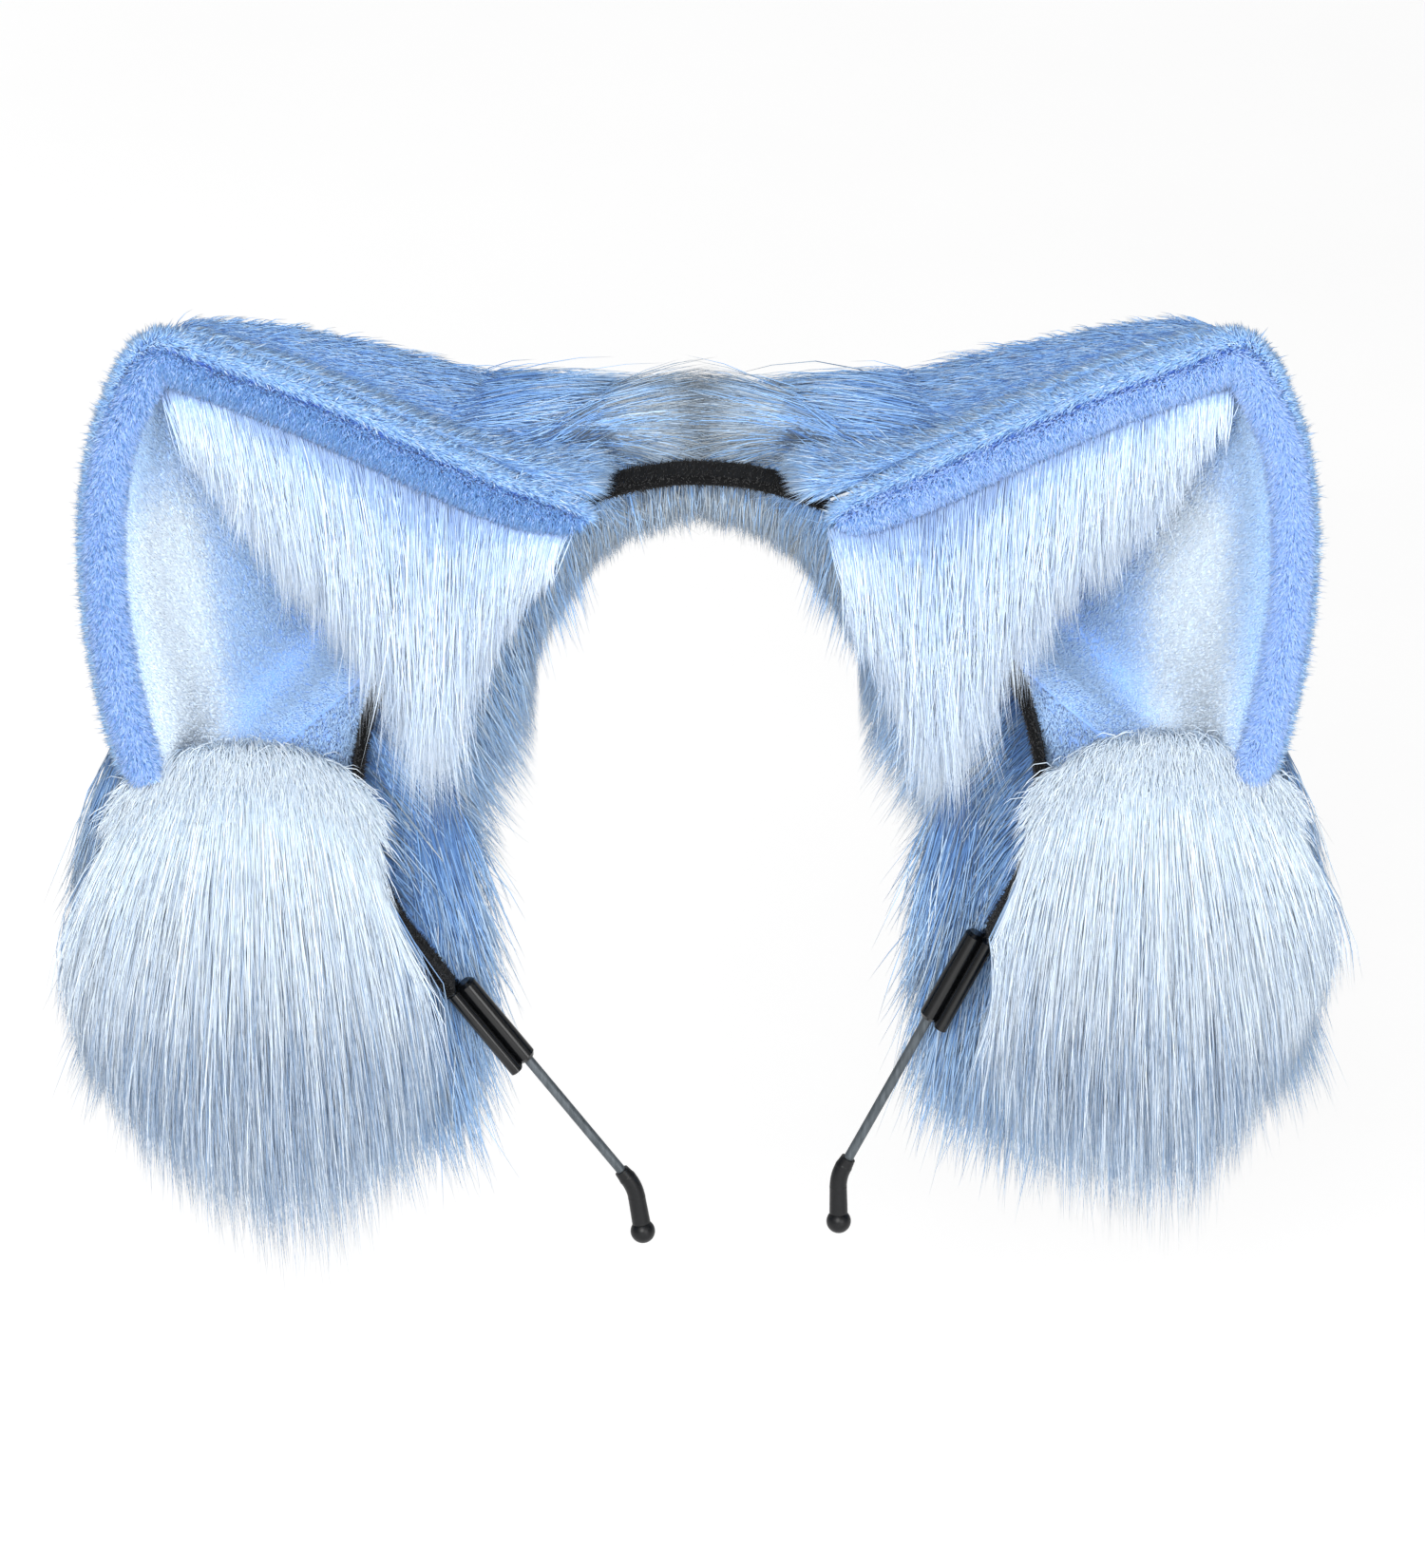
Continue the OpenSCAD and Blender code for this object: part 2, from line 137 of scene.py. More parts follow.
BLUE_BACK = tones("back_pile", [
    ((104, 147, 205), (136, 180, 232), (158, 198, 240)),
    ((92, 134, 196), (122, 168, 226), (146, 188, 236)),
    ((112, 152, 204), (150, 192, 236), (182, 210, 240)),
    ((84, 122, 182), (108, 154, 214), (130, 174, 226)),
    ((128, 160, 200), (170, 200, 232), (205, 222, 240)),
])
# grey-blue tones painted as shade: the fur at the crown just under the band, where the band's shadow falls
CROWN_SHADE_GREYS = tones("crown_shade_grey", [
    ((88, 108, 134), (122, 141, 163), (158, 174, 190)),
    ((80, 104, 137), (110, 135, 166), (146, 167, 190)),
    ((102, 117, 134), (132, 144, 157), (166, 174, 180)),
])
BLUE_LONG = tones("long_blue", [
    ((100, 140, 193), (130, 170, 217), (162, 193, 226)),
    ((88, 127, 181), (117, 159, 210), (152, 185, 221)),
    ((104, 140, 184), (140, 174, 212), (182, 204, 226)),
    ((78, 115, 169), (104, 146, 200), (136, 173, 215)),
    ((124, 150, 182), (164, 190, 216), (206, 220, 232)),
])
GREY_LONG = tones("long_grey", [
    ((112, 138, 170), (134, 160, 190), (160, 182, 204)),
    ((104, 134, 172), (124, 156, 196), (150, 178, 208)),
    ((130, 150, 172), (152, 172, 192), (182, 196, 208)),
    ((98, 130, 174), (112, 148, 196), (142, 172, 210)),
])
WHITE_UP = tones("ice", [
    ((172, 200, 240), (202, 222, 247), (216, 232, 250)),
    ((162, 192, 237), (193, 216, 244), (208, 226, 248)),
    ((183, 209, 244), (214, 230, 249), (226, 238, 252)),
    ((152, 184, 232), (182, 208, 240), (198, 219, 246)),
])
WHITE_LOW = tones("snow", [
    ((198, 217, 235), (220, 233, 244), (218, 230, 242)),
    ((190, 210, 231), (212, 227, 241), (206, 221, 238)),
    ((216, 231, 244), (232, 241, 249), (230, 240, 249)),
    ((186, 208, 231), (202, 219, 237), (190, 209, 231)),
])
SNOW_BLUE = tones("snow_blue", [
    ((198, 215, 233), (180, 200, 222), (150, 172, 199)),
    ((190, 208, 228), (166, 188, 214), (136, 162, 194)),
])
RIM_NAP = tones("rim_nap", [
    ((126, 164, 228), (144, 180, 236), (158, 190, 241)),
    ((116, 155, 224), (134, 171, 233), (148, 182, 239)),
    ((136, 173, 231), (156, 189, 239), (174, 201, 243)),
    ((100, 141, 216), (118, 157, 228), (132, 169, 235)),
])
# darker blue tones painted as shade: the upper roll's nap, whose lower half faces down away from the light
RIM_SHADE = tones("rim_painted_shade", [
    ((70, 114, 176), (86, 132, 191), (104, 148, 204)),
    ((62, 104, 168), (76, 120, 182), (92, 136, 195)),
    ((82, 126, 186), (102, 147, 202), (122, 164, 214)),
])
# deep blue tones painted as shade in the groove of the roll's sewn crease
SEAM_SHADE = tones("seam_painted_shade", [
    ((52, 92, 178), (66, 110, 196), (84, 128, 210)),
    ((44, 82, 168), (58, 100, 186), (74, 116, 198)),
])
INNER_NAP = tones("inner_nap", [
    ((144, 184, 235), (158, 196, 240), (168, 203, 243)),
    ((156, 193, 238), (170, 204, 242), (180, 210, 245)),
    ((166, 198, 240), (180, 208, 244), (190, 215, 247)),
    ((190, 213, 240), (200, 221, 244), (208, 226, 246)),
    ((202, 221, 241), (214, 230, 245), (222, 235, 248)),
])
BLACK_FUZZ = tones("velvet_fuzz", [
    ((7, 8, 9), (11, 12, 14), (18, 20, 23)),
    ((5, 6, 7), (8, 9, 10), (13, 14, 16)),
])

# ------------------------------------------------------------------ mesh code


def make(name, verts, faces, mats, body="hoop", smooth=True, index=None):
    """faces is a list of (count, verts-per-face) integer arrays; index gives each face's material."""
    me = bpy.data.meshes.new(name)
    verts = np.asarray(verts, dtype=np.float32) * MM
    me.vertices.add(len(verts))
    me.vertices.foreach_set("co", verts.ravel())
    faces = [np.asarray(f, dtype=np.int32) for f in faces if len(f)]
    loops = np.concatenate([f.ravel() for f in faces])
    totals = np.concatenate([np.full(len(f), f.shape[1], dtype=np.int32) for f in faces])
    starts = np.concatenate([[0], np.cumsum(totals)[:-1]]).astype(np.int32)
    me.loops.add(len(loops))
    me.loops.foreach_set("vertex_index", loops)
    me.polygons.add(len(totals))
    me.polygons.foreach_set("loop_start", starts)
    for m in mats:
        me.materials.append(m)
    if index is not None:
        me.polygons.foreach_set("material_index", np.concatenate(index).astype(np.int32))
    me.update(calc_edges=True)
    me.polygons.foreach_set("use_smooth", np.full(len(totals), smooth, dtype=bool))
    me.validate()
    o = bpy.data.objects.new(name, me)
    bpy.context.scene.collection.objects.link(o)
    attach(o, body)
    return o


def unit(v):
    return v / np.maximum(np.linalg.norm(v, axis=-1, keepdims=True), 1e-12)


def strands(name, P, r0, tone, mats, rng, sign=1.0, body="hoop", tip=0.25, tip_from=0.62, root_to=0.22):
    """Closed three-sided tapered fibres. P is (fibres, points, 3) in mm, r0 the root radius, tone a whole number per fibre."""
    P = np.array(P, dtype=np.float64)
    N, K = P.shape[:2]
    r0 = np.broadcast_to(np.asarray(r0, dtype=np.float64), (N,))
    if sign < 0:
        P[..., 0] *= -1
    T = np.gradient(P, axis=1) if K > 2 else np.repeat((P[:, 1:] - P[:, :1]), 2, axis=1)
    T = unit(T)
    mean = unit(T.mean(axis=1))
    rnd = unit(rng.normal(size=(N, 3)))
    A = unit(np.cross(mean, rnd))
    U = unit(np.cross(T, A[:, None, :]))
    V = np.cross(T, U)
    rings = K - 1
    k = np.arange(rings) / max(1, K - 1)
    rad = r0[:, None] * (1 - (1 - tip) * k[None, :] ** 1.6)
    ang = np.array([0, 2 * math.pi / 3, 4 * math.pi / 3])
    ring = (P[:, :rings, None, :]
            + rad[:, :, None, None] * (np.cos(ang)[None, None, :, None] * U[:, :rings, None, :]
                                       + np.sin(ang)[None, None, :, None] * V[:, :rings, None, :]))
    per = rings * 3 + 1
    verts = np.concatenate([ring.reshape(N, rings * 3, 3), P[:, -1:, :]], axis=1).reshape(-1, 3)
    base = np.arange(N)[:, None] * per
    quads, qz = [], []
    for i in range(rings - 1):
        for j in range(3):
            a, b = i * 3 + j, i * 3 + (j + 1) % 3
            quads.append([a, b, b + 3, a + 3])
            qz.append((i + 0.5) / (K - 1))
    tris, tz = [], []
    for j in range(3):
        tris.append([(rings - 1) * 3 + j, (rings - 1) * 3 + (j + 1) % 3, rings * 3])
        tz.append(1.0)
    tris.append([2, 1, 0])
    tz.append(0.0)

    def zone(z):
        z = np.asarray(z)
        return np.where(z < root_to, 0, np.where(z < tip_from, 1, 2))

    out_f, out_i = [], []
    for pat, z in ((quads, qz), (tris, tz)):
        if not pat:
            continue
        pat = np.array(pat)
        out_f.append((base[:, :, None] + pat[None]).reshape(-1, pat.shape[1]))
        out_i.append((np.asarray(tone)[:, None] * 3 + zone(z)[None]).reshape(-1))
    return make(name, verts, out_f, mats, body=body, index=out_i)


def clump(P, rng, guides, pull, power=1.4, spread=0.0, weight=(1.0, 1.0, 1.0)):
    """Draws the fibres of a lock together towards their tips."""
    N, K = P.shape[:2]
    g = rng.choice(N, size=min(guides, N), replace=False)
    roots, w = P[:, 0], np.array(weight)
    own = np.empty(N, dtype=int)
    for a in range(0, N, 2000):
        d = ((roots[a:a + 2000, None] - roots[None, g]) * w) ** 2
        own[a:a + 2000] = g[d.sum(-1).argmin(1)]
    u = (np.arange(K) / (K - 1)) ** power
    amount = pull * (0.6 + 0.8 * rng.random(N))
    amount = np.clip(amount, 0, 0.96)[:, None, None] * u[None, :, None]
    target = P[own] + rng.normal(size=(N, 1, 3)) * spread * u[None, :, None]
    # a fibre keeps its own length: it follows the lock's line from its own root
    L = np.linalg.norm(P[:, -1] - P[:, 0], axis=-1) / np.maximum(
        np.linalg.norm(P[own, -1] - P[own, 0], axis=-1), 1e-6)
    follow = P[own, :1] + (target - P[own, :1]) * L[:, None, None]
    return P * (1 - amount) + follow * amount


def wobble(P, rng, size):
    """A gentle random bend that grows along each fibre."""
    N, K = P.shape[:2]
    u = np.arange(K) / (K - 1)
    a, b = rng.normal(size=(N, 1, 3)), rng.normal(size=(N, 1, 3))
    size = np.asarray(size).reshape(-1, 1, 1) if np.ndim(size) else size
    return P + size * (a * (u ** 1.5)[None, :, None] + 0.45 * b * np.sin(u * 5.0)[None, :, None] * u[None, :, None])


def grid_faces(m, n, close_u=False, close_v=False, off=0, flip=False):
    mu, nv = (m if close_u else m - 1), (n if close_v else n - 1)
    i, j = np.meshgrid(np.arange(mu), np.arange(nv), indexing="ij")
    a = i * n + j
    b = ((i + 1) % m) * n + j
    c = ((i + 1) % m) * n + (j + 1) % n
    d = i * n + (j + 1) % n
    f = np.stack([a, b, c, d], axis=-1).reshape(-1, 4) + off
    return f[:, ::-1] if flip else f


def shell(name, A, B, mats, sign=1.0, body="hoop", tone=None):
    """A closed thin solid between two grids of the same size."""
    m, n = A.shape[:2]
    A, B = A.copy(), B.copy()
    if sign < 0:
        A[..., 0] *= -1
        B[..., 0] *= -1
    verts = np.concatenate([A.reshape(-1, 3), B.reshape(-1, 3)])
    off = m * n
    top = grid_faces(m, n)
    bot = grid_faces(m, n, off=off, flip=True)
    edge = ([(i * n, (i + 1) * n) for i in range(m - 1)]
            + [((m - 1) * n + j, (m - 1) * n + j + 1) for j in range(n - 1)]
            + [((i + 1) * n + n - 1, i * n + n - 1) for i in range(m - 1)]
            + [(j + 1, j) for j in range(n - 1)])
    side = np.array([[b, a, a + off, b + off] for a, b in edge])
    f = [top, bot, side]
    if sign < 0:
        f = [x[:, ::-1] for x in f]
    idx = None if tone is None else [np.asarray(tone).reshape(-1), np.asarray(tone).reshape(-1), np.zeros(len(side))]
    o = make(name, verts, f, mats, body=body, index=idx)
    return o


# ------------------------------------------------------------------ the ear's own surfaces, in millimetres
Z0, RC = 0.9, 54.9
EAR_X, EAR_Z, DEPTH = 117.0, 31.0, 56.0
HOOP = {"right": (72.0, 48.0, 27.3, 8.1), "left": (70.5, 54.0, 37.2, 11.5)}


def hoop_line(side, step=0.5):
    """The hoop's centreline down one side: points (x, z) and outward normals, with x positive on both sides."""
    r, a, lean, sleeve_at = HOOP[side]
    c1 = np.array([0.0, Z0 - RC])
    c2 = c1 + (RC - r) * np.array([math.sin(math.radians(20)), math.cos(math.radians(20))])
    a2 = 20 + a
    c3 = c2 + (r - 54) * np.array([math.sin(math.radians(a2)), math.cos(math.radians(a2))])
    a3 = 90 + lean
    pts, nor = [], []
    for c, rad, lo, hi in ((c1, RC, 0, 20), (c2, r, 20, a2), (c3, 54.0, a2, a3)):
        count = max(2, int(rad * math.radians(hi - lo) / step))
        for th in np.linspace(lo, hi, count, endpoint=False):
            d = np.array([math.sin(math.radians(th)), math.cos(math.radians(th))])
            pts.append(c + rad * d)
            nor.append(d)
    d = np.array([math.sin(math.radians(a3)), math.cos(math.radians(a3))])
    end = c3 + 54.0 * d
    tan = np.array([d[1], -d[0]])
    for k in np.arange(0, sleeve_at - 0.4 + 1e-6, step):
        pts.append(end + tan * k)
        nor.append(d)
    return np.array(pts), np.array(nor)


def bez(p0, p1, p2, p3, t):
    return (1 - t) ** 3 * p0 + 3 * t * (1 - t) ** 2 * p1 + 3 * t * t * (1 - t) * p2 + t ** 3 * p3


CORNER = np.array([25.0, -5.0, 0.0])
TIP_U = np.array([EAR_X - 19, -2.0, EAR_Z])
TIP_O = np.array([EAR_X - 9, -2.0, EAR_Z - 12])
FOOT = np.array([EAR_X - 12, -3.0, -58.0])


def vec(x, y, z, like):
    one = np.ones_like(like)
    return np.stack([x * one, y * one, z * one], axis=-1)


def rim_u(t):
    t = np.asarray(t, float)[..., None]
    return bez(CORNER, CORNER + [26, 0, 10], TIP_U + [-30, 0, -9], TIP_U, t)


def rim_o(t):
    t = np.asarray(t, float)[..., None]
    return bez(FOOT, FOOT + [8, 0, 26], TIP_O + [8, 0, -22], TIP_O, t)


def bulge(t):
    return ((0.34 + 0.66 * np.sin(math.pi / 2 * np.minimum(1, t / 0.26)))
            * np.maximum(0, 1 - t) ** 0.62 * (1.14 - 0.14 * t))


def cup(s, t):
    s, t = np.broadcast_arrays(np.asarray(s, float), np.asarray(t, float))
    u0 = rim_u(t) + vec(1.2, 3.2, -3.4 + 6.5 * np.maximum(0, 1 - t / 0.35), t)
    o0 = rim_o(t) + vec(-3.8, 0, 0.6 + 3 * np.maximum(0, 1 - t / 0.3), t)
    k = bulge(t)[..., None]
    ss = s[..., None]
    out = bez(u0, u0 + k * np.array([-30, DEPTH + 2, 26]), o0 + k * np.array([-26, DEPTH - 6, -22]), o0, ss)
    out[..., 2] += -13 * np.maximum(0, 1 - t) ** 1.5 * np.sin(math.pi * np.maximum(0, s) ** 1.6)
    return out


def cup_frame(s, t):
    s, t = np.broadcast_arrays(np.asarray(s, float), np.minimum(np.asarray(t, float), 0.985))
    e = 0.004
    ds = (cup(s + e, t) - cup(s - e, t)) / (2 * e)
    dt = (cup(s, t + e) - cup(s, t - e)) / (2 * e)
    return unit(np.cross(dt, ds)), ds, dt


def skin(s, t, d):
    n, _, _ = cup_frame(s, t)
    return cup(s, t) + n * (d if np.ndim(d) else float(d))


RIM_Y = -5.6


def rim_c(u):
    u = np.asarray(u, float)
    a = rim_u(np.clip(u / 0.45, 0, 1))
    b = rim_o(np.clip((1 - u) / 0.45, 0, 1))
    w = np.clip((u - 0.45) / 0.1, 0, 1)[..., None]
    c = bez(TIP_U, TIP_U + [6, 0, 2], TIP_O + [-1.5, 0, 6], TIP_O, w)
    out = np.where((u < 0.45)[..., None], a, np.where((u > 0.55)[..., None], b, c))
    return out + np.array([0, RIM_Y, 0])


def rim_line(count):
    """Even steps along the roll's centreline, with its outward direction in the ear's plane."""
    u = np.linspace(0, 1, 1600)
    p = rim_c(u)
    length = np.concatenate([[0], np.cumsum(np.linalg.norm(np.diff(p, axis=0), axis=1))])
    at = np.interp(np.linspace(0, length[-1], count), length, u)
    q = rim_c(at)
    t = unit(np.gradient(q, axis=0))
    y = np.array([0, 1.0, 0])
    n = unit(np.cross(t, y))
    out = q - np.array([80.0, RIM_Y, -14.0])
    n *= np.sign((n * out).sum(-1))[:, None]
    # smooth the direction round the tip
    for _ in range(6):
        n[1:-1] = unit(n[:-2] + 2 * n[1:-1] + n[2:])
    return at, q, t, n, length[-1]


def roll_shape(u):
    """The roll along its length: how far its centre lies inside the wire, its radius, and where its seam runs."""
    w = np.clip((np.asarray(u, float) - 0.40) / 0.22, 0, 1)
    w = w * w * (3 - 2 * w)
    k = np.clip(1 - u / 0.16, 0, 1)
    return 3.8 - 3.3 * w + 0.6 * k, 5.5 - 1.1 * w - 0.5 * k, np.radians(32 + 14 * np.clip(1 - u / 0.4, 0, 1) + 50 * w)


def roll_point(q, n, phi, u, lift=0.0):
    """phi is 0 at the roll's front and 90 degrees at its outer edge."""
    shift, r, seam = roll_shape(u)
    dip = 1.25 * np.exp(-((phi - seam) / 0.17) ** 2)
    rr = (r - dip + lift)[..., None]
    c, s = np.cos(phi)[..., None], np.sin(phi)[..., None]
    return q - shift[..., None] * n + rr * (s * n + 0.8 * c * np.array([0, -1.0, 0]))


def area_samples(fn, count, rng, s0=0.0, s1=1.0, t0=0.0, t1=0.995):
    """Even scatter over a grid surface."""
    S, T = np.meshgrid(np.linspace(s0, s1, 60), np.linspace(t0, t1, 60), indexing="ij")
    P = fn(S, T)
    a = np.linalg.norm(np.cross(P[1:, :-1] - P[:-1, :-1], P[:-1, 1:] - P[:-1, :-1]), axis=-1)
    w = a.ravel() / a.sum()
    c = rng.choice(len(w), size=count, p=w)
    i, j = c // 59, c % 59
    s = s0 + (s1 - s0) * (i + rng.random(count)) / 59
    t = t0 + (t1 - t0) * (j + rng.random(count)) / 59
    return s, t


def fibre_path(root, d0, length, K, gravity=0.0, gdir=(0, 0, -1), power=2.0):
    """A fibre that leaves along d0 and bends towards gdir."""
    u = np.arange(K) / (K - 1)
    length = np.asarray(length, float).reshape(-1, 1)
    gravity = np.asarray(gravity, float).reshape(-1, 1) if np.ndim(gravity) else gravity
    dirs = d0[:, None, :] + np.asarray(gdir, float)[None, None, :] * ((gravity * np.ones_like(length))[..., None] * (u ** 1.0)[None, :, None] * power)
    dirs = unit(dirs)
    seg = dirs[:, :-1] * 0.5 + dirs[:, 1:] * 0.5
    seg = unit(seg) * (length / (K - 1))[..., None]
    return np.concatenate([root[:, None], root[:, None] + np.cumsum(seg, axis=1)], axis=1)


def inside_arch(P, ragged):
    """Shortens each fibre so that the hair under the middle of the band keeps a soft round edge."""
    k = np.full(len(P), 0.3)
    done = np.zeros(len(P), dtype=bool)
    for f in (1.0, 0.92, 0.84, 0.76, 0.68, 0.6, 0.52, 0.44, 0.36):
        tip = P[:, 0] + (P[:, -1] - P[:, 0]) * f
        edge = np.interp(tip[:, 0], [0, 7, 13, 20, 25, 30], [-15.5, -16, -18.5, -25, -33, -44]) - ragged
        ok = ((tip[:, 2] >= edge) | (tip[:, 0] > 30)) & ~done
        k[ok] = f
        done |= ok
    return P[:, :1] + (P - P[:, :1]) * k[:, None, None]


# ------------------------------------------------------------------ finishes
steel = patterned("spring_steel_brushed", lin(92, 96, 100), lin(138, 142, 147), 900, 0.3, bump=0.1,
                  dist=0.00005, metallic=1.0, stretch=(1, 1, 0.12), rough_to=0.42)
wire_steel = patterned("arm_wire_steel", lin(60, 66, 70), lin(88, 94, 99), 1400, 0.40, bump=0.12,
                       dist=0.00004, metallic=0.4, stretch=(1, 1, 0.1), rough_to=0.52, spec=0.3)
gloss_black = patterned("sleeve_gloss_black", lin(4, 5, 6), lin(11, 12, 14), 700, 0.14, bump=0.05,
                        dist=0.00006, coat=0.2, rough_to=0.24, spec=0.25)
satin_rubber = patterned("tip_rubber_black", lin(6, 7, 9), lin(14, 15, 18), 1500, 0.34, bump=0.14,
                         dist=0.00005, rough_to=0.46, spec=0.25)
collar_metal = patterned("collar_metal", lin(60, 64, 68), lin(92, 96, 101), 1200, 0.3, bump=0.1,
                         dist=0.00004, metallic=0.9, rough_to=0.45)
elastic = patterned("loop_elastic_weave", lin(18, 19, 22), lin(46, 48, 54), 420, 0.7, bump=0.5,
                    dist=0.0002, kind="weave", sheen=0.3)
felt = patterned("base_felt", lin(84, 118, 168), lin(120, 152, 200), 620, 0.9, bump=0.5, dist=0.0003, sheen=0.4)
foam = patterned("foam_liner", lin(200, 206, 214), lin(226, 230, 236), 500, 0.95, bump=0.6, dist=0.0004)
velvet = patterned("velvet_ribbon", lin(5, 6, 7), lin(14, 15, 17), 800, 0.85, bump=0.6, dist=0.0003,
                   sheen=0.05, kind="weave", spec=0.15)
back_cloth = patterned("fur_backing_blue", lin(84, 124, 184), lin(112, 154, 212), 520, 0.95, bump=0.5,
                       dist=0.0004, sheen=0.3)
long_cloth = patterned("long_fur_backing", lin(88, 118, 160), lin(116, 146, 186), 420, 0.95, bump=0.5,
                       dist=0.0004, sheen=0.3)
white_cloth = patterned("white_fur_backing", lin(196, 212, 232), lin(220, 232, 246), 460, 0.95, bump=0.5,
                        dist=0.0004, sheen=0.3)
rim_cloth = patterned("rim_plush_backing", lin(112, 152, 232), lin(142, 180, 248), 700, 0.9, bump=0.5,
                      dist=0.0003, sheen=0.4)
thread = patterned("seam_thread", lin(52, 92, 180), lin(78, 118, 204), 1800, 0.6, bump=0.3, dist=0.0001)


def stripe_plush():
    """The inner plush: blue with a pale stripe, from the tone painted on the vertices, broken up by two noises."""
    m, nt, b = principled("inner_plush_striped", lin(164, 198, 244), 0.88, sheen=0.4, spec=0.2)
    n, l = nt.nodes, nt.links
    at = n.new("ShaderNodeAttribute")
    at.attribute_name = "stripe"
    tc = n.new("ShaderNodeTexCoord")
    n1 = n.new("ShaderNodeTexNoise")
    n1.inputs["Scale"].default_value = 90
    n1.inputs["Detail"].default_value = 5
    n2 = n.new("ShaderNodeTexNoise")
    n2.inputs["Scale"].default_value = 900
    n2.inputs["Detail"].default_value = 4
    for t in (n1, n2):
        l.new(tc.outputs["Object"], t.inputs["Vector"])
    wob = n.new("ShaderNodeMapRange")
    wob.inputs["To Min"].default_value = -0.18
    wob.inputs["To Max"].default_value = 0.18
    l.new(n1.outputs["Fac"], wob.inputs["Value"])
    add = n.new("ShaderNodeMath")
    add.use_clamp = True
    l.new(at.outputs["Fac"], add.inputs[0])
    l.new(wob.outputs["Result"], add.inputs[1])
    ramp = n.new("ShaderNodeValToRGB")
    e = ramp.color_ramp.elements
    e[0].position, e[0].color = 0.0, lin(146, 184, 242)
    e[1].position, e[1].color = 1.0, lin(212, 228, 246)
    mid = ramp.color_ramp.elements.new(0.45)
    mid.color = lin(176, 205, 245)
    l.new(add.outputs[0], ramp.inputs["Fac"])
    l.new(ramp.outputs["Color"], b.inputs["Base Color"])
    bp = n.new("ShaderNodeBump")
    bp.inputs["Strength"].default_value = 0.5
    bp.inputs["Distance"].default_value = 0.0003
    l.new(n2.outputs["Fac"], bp.inputs["Height"])
    l.new(bp.outputs["Normal"], b.inputs["Normal"])
    return m


plush = stripe_plush()


def paint(node, material):
    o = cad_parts[node]
    o.data.materials.clear()
    o.data.materials.append(material)


paint("spring_strip", steel)
for side, _ in SIDES:
    paint(f"{side}_sleeve", gloss_black)
    paint(f"{side}_arm_wire", wire_steel)
    paint(f"{side}_stop_collar", collar_metal)
    paint(f"{side}_rubber_tip", satin_rubber)
    paint(f"{side}_band_loops", elastic)
    paint(f"{side}_base_felt", felt)
    paint(f"{side}_foam_liner", foam)
    paint(f"{side}_rim_wire", steel)

# ------------------------------------------------------------------ velvet ribbon round the hoop
rng = np.random.default_rng(11)
lp, ln = hoop_line("left")
rp, rn = hoop_line("right")
lp, ln = lp[::-1].copy(), ln[::-1].copy()
lp[:, 0] *= -1
ln[:, 0] *= -1
path = np.concatenate([lp[:-1], rp])[::2]
norm = np.concatenate([ln[:-1], rn])[::2]
M = len(path)
prof = []
W, H, RD = 4.0, 0.9, 0.55
for cx, cy, a0 in ((W - RD, H - RD, 0), (-W + RD, H - RD, 90), (-W + RD, -H + RD, 180), (W - RD, -H + RD, 270)):
    for a in np.linspace(a0, a0 + 90, 4):
        prof.append((cx + RD * math.cos(math.radians(a)), cy + RD * math.sin(math.radians(a))))
    if a0 == 0:
        prof += [(x, H) for x in (2.2, 0.8, -0.8, -2.2)]
    if a0 == 180:
        prof += [(x, -H) for x in (-2.2, -0.8, -0.25, 0.25, 0.8, 2.2)]
prof = np.array(prof)
wave = 0.05 * np.sin(np.arange(M) * 0.9)[:, None] * np.ones(len(prof))[None]
py = prof[None, :, 0] + wave
pn = prof[None, :, 1] + 0.05 * np.sin(np.arange(M) * 0.53 + 1.0)[:, None]
# the ribbon's two edges meet in a butt seam under the hoop
pn = pn + 0.22 * np.exp(-(prof[None, :, 0] / 0.3) ** 2) * (prof[None, :, 1] < 0)
ring = np.zeros((M, len(prof), 3))
ring[..., 0] = path[:, None, 0] + norm[:, None, 0] * pn
ring[..., 2] = path[:, None, 1] + norm[:, None, 1] * pn
ring[..., 1] = py
K = len(prof)
ends = np.stack([ring[0].mean(0), ring[-1].mean(0)])
verts = np.concatenate([ring.reshape(-1, 3), ends])
side_f = grid_faces(M, K, close_v=True)
j = np.arange(K)
cap0 = np.stack([np.full(K, M * K), j, (j + 1) % K], axis=1)
cap1 = np.stack([np.full(K, M * K + 1), (M - 1) * K + (j + 1) % K, (M - 1) * K + j], axis=1)
ribbon = make("velvet_ribbon", verts, [side_f, cap0, cap1], [velvet])
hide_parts("velvet_wrap")
# pile on the velvet
n = 16000
i = rng.integers(0, M - 1, n)
f = rng.random(n)
k = rng.integers(0, K, n)
g = rng.random(n)[:, None]
p = (ring[i, k] * (1 - g) + ring[i, (k + 1) % K] * g) * (1 - f[:, None]) + (ring[i + 1, k] * (1 - g) + ring[i + 1, (k + 1) % K] * g) * f[:, None]
mid = np.zeros((n, 3))
mid[:, 0], mid[:, 2] = path[i, 0], path[i, 1]
core = mid.copy()
core[:, 1] = p[:, 1] * 0.8
d = unit(unit(p - core) + 0.55 * rng.normal(size=(n, 3)))
L = 0.55 + 0.6 * rng.random(n)
L[rng.random(n) < 0.05] *= 1.9
P = fibre_path(p - 0.1 * d, d, L, 3)
fuzz = strands("velvet_pile", P, 0.07 + 0.03 * rng.random(n), rng.integers(0, 2, n), BLACK_FUZZ, rng)

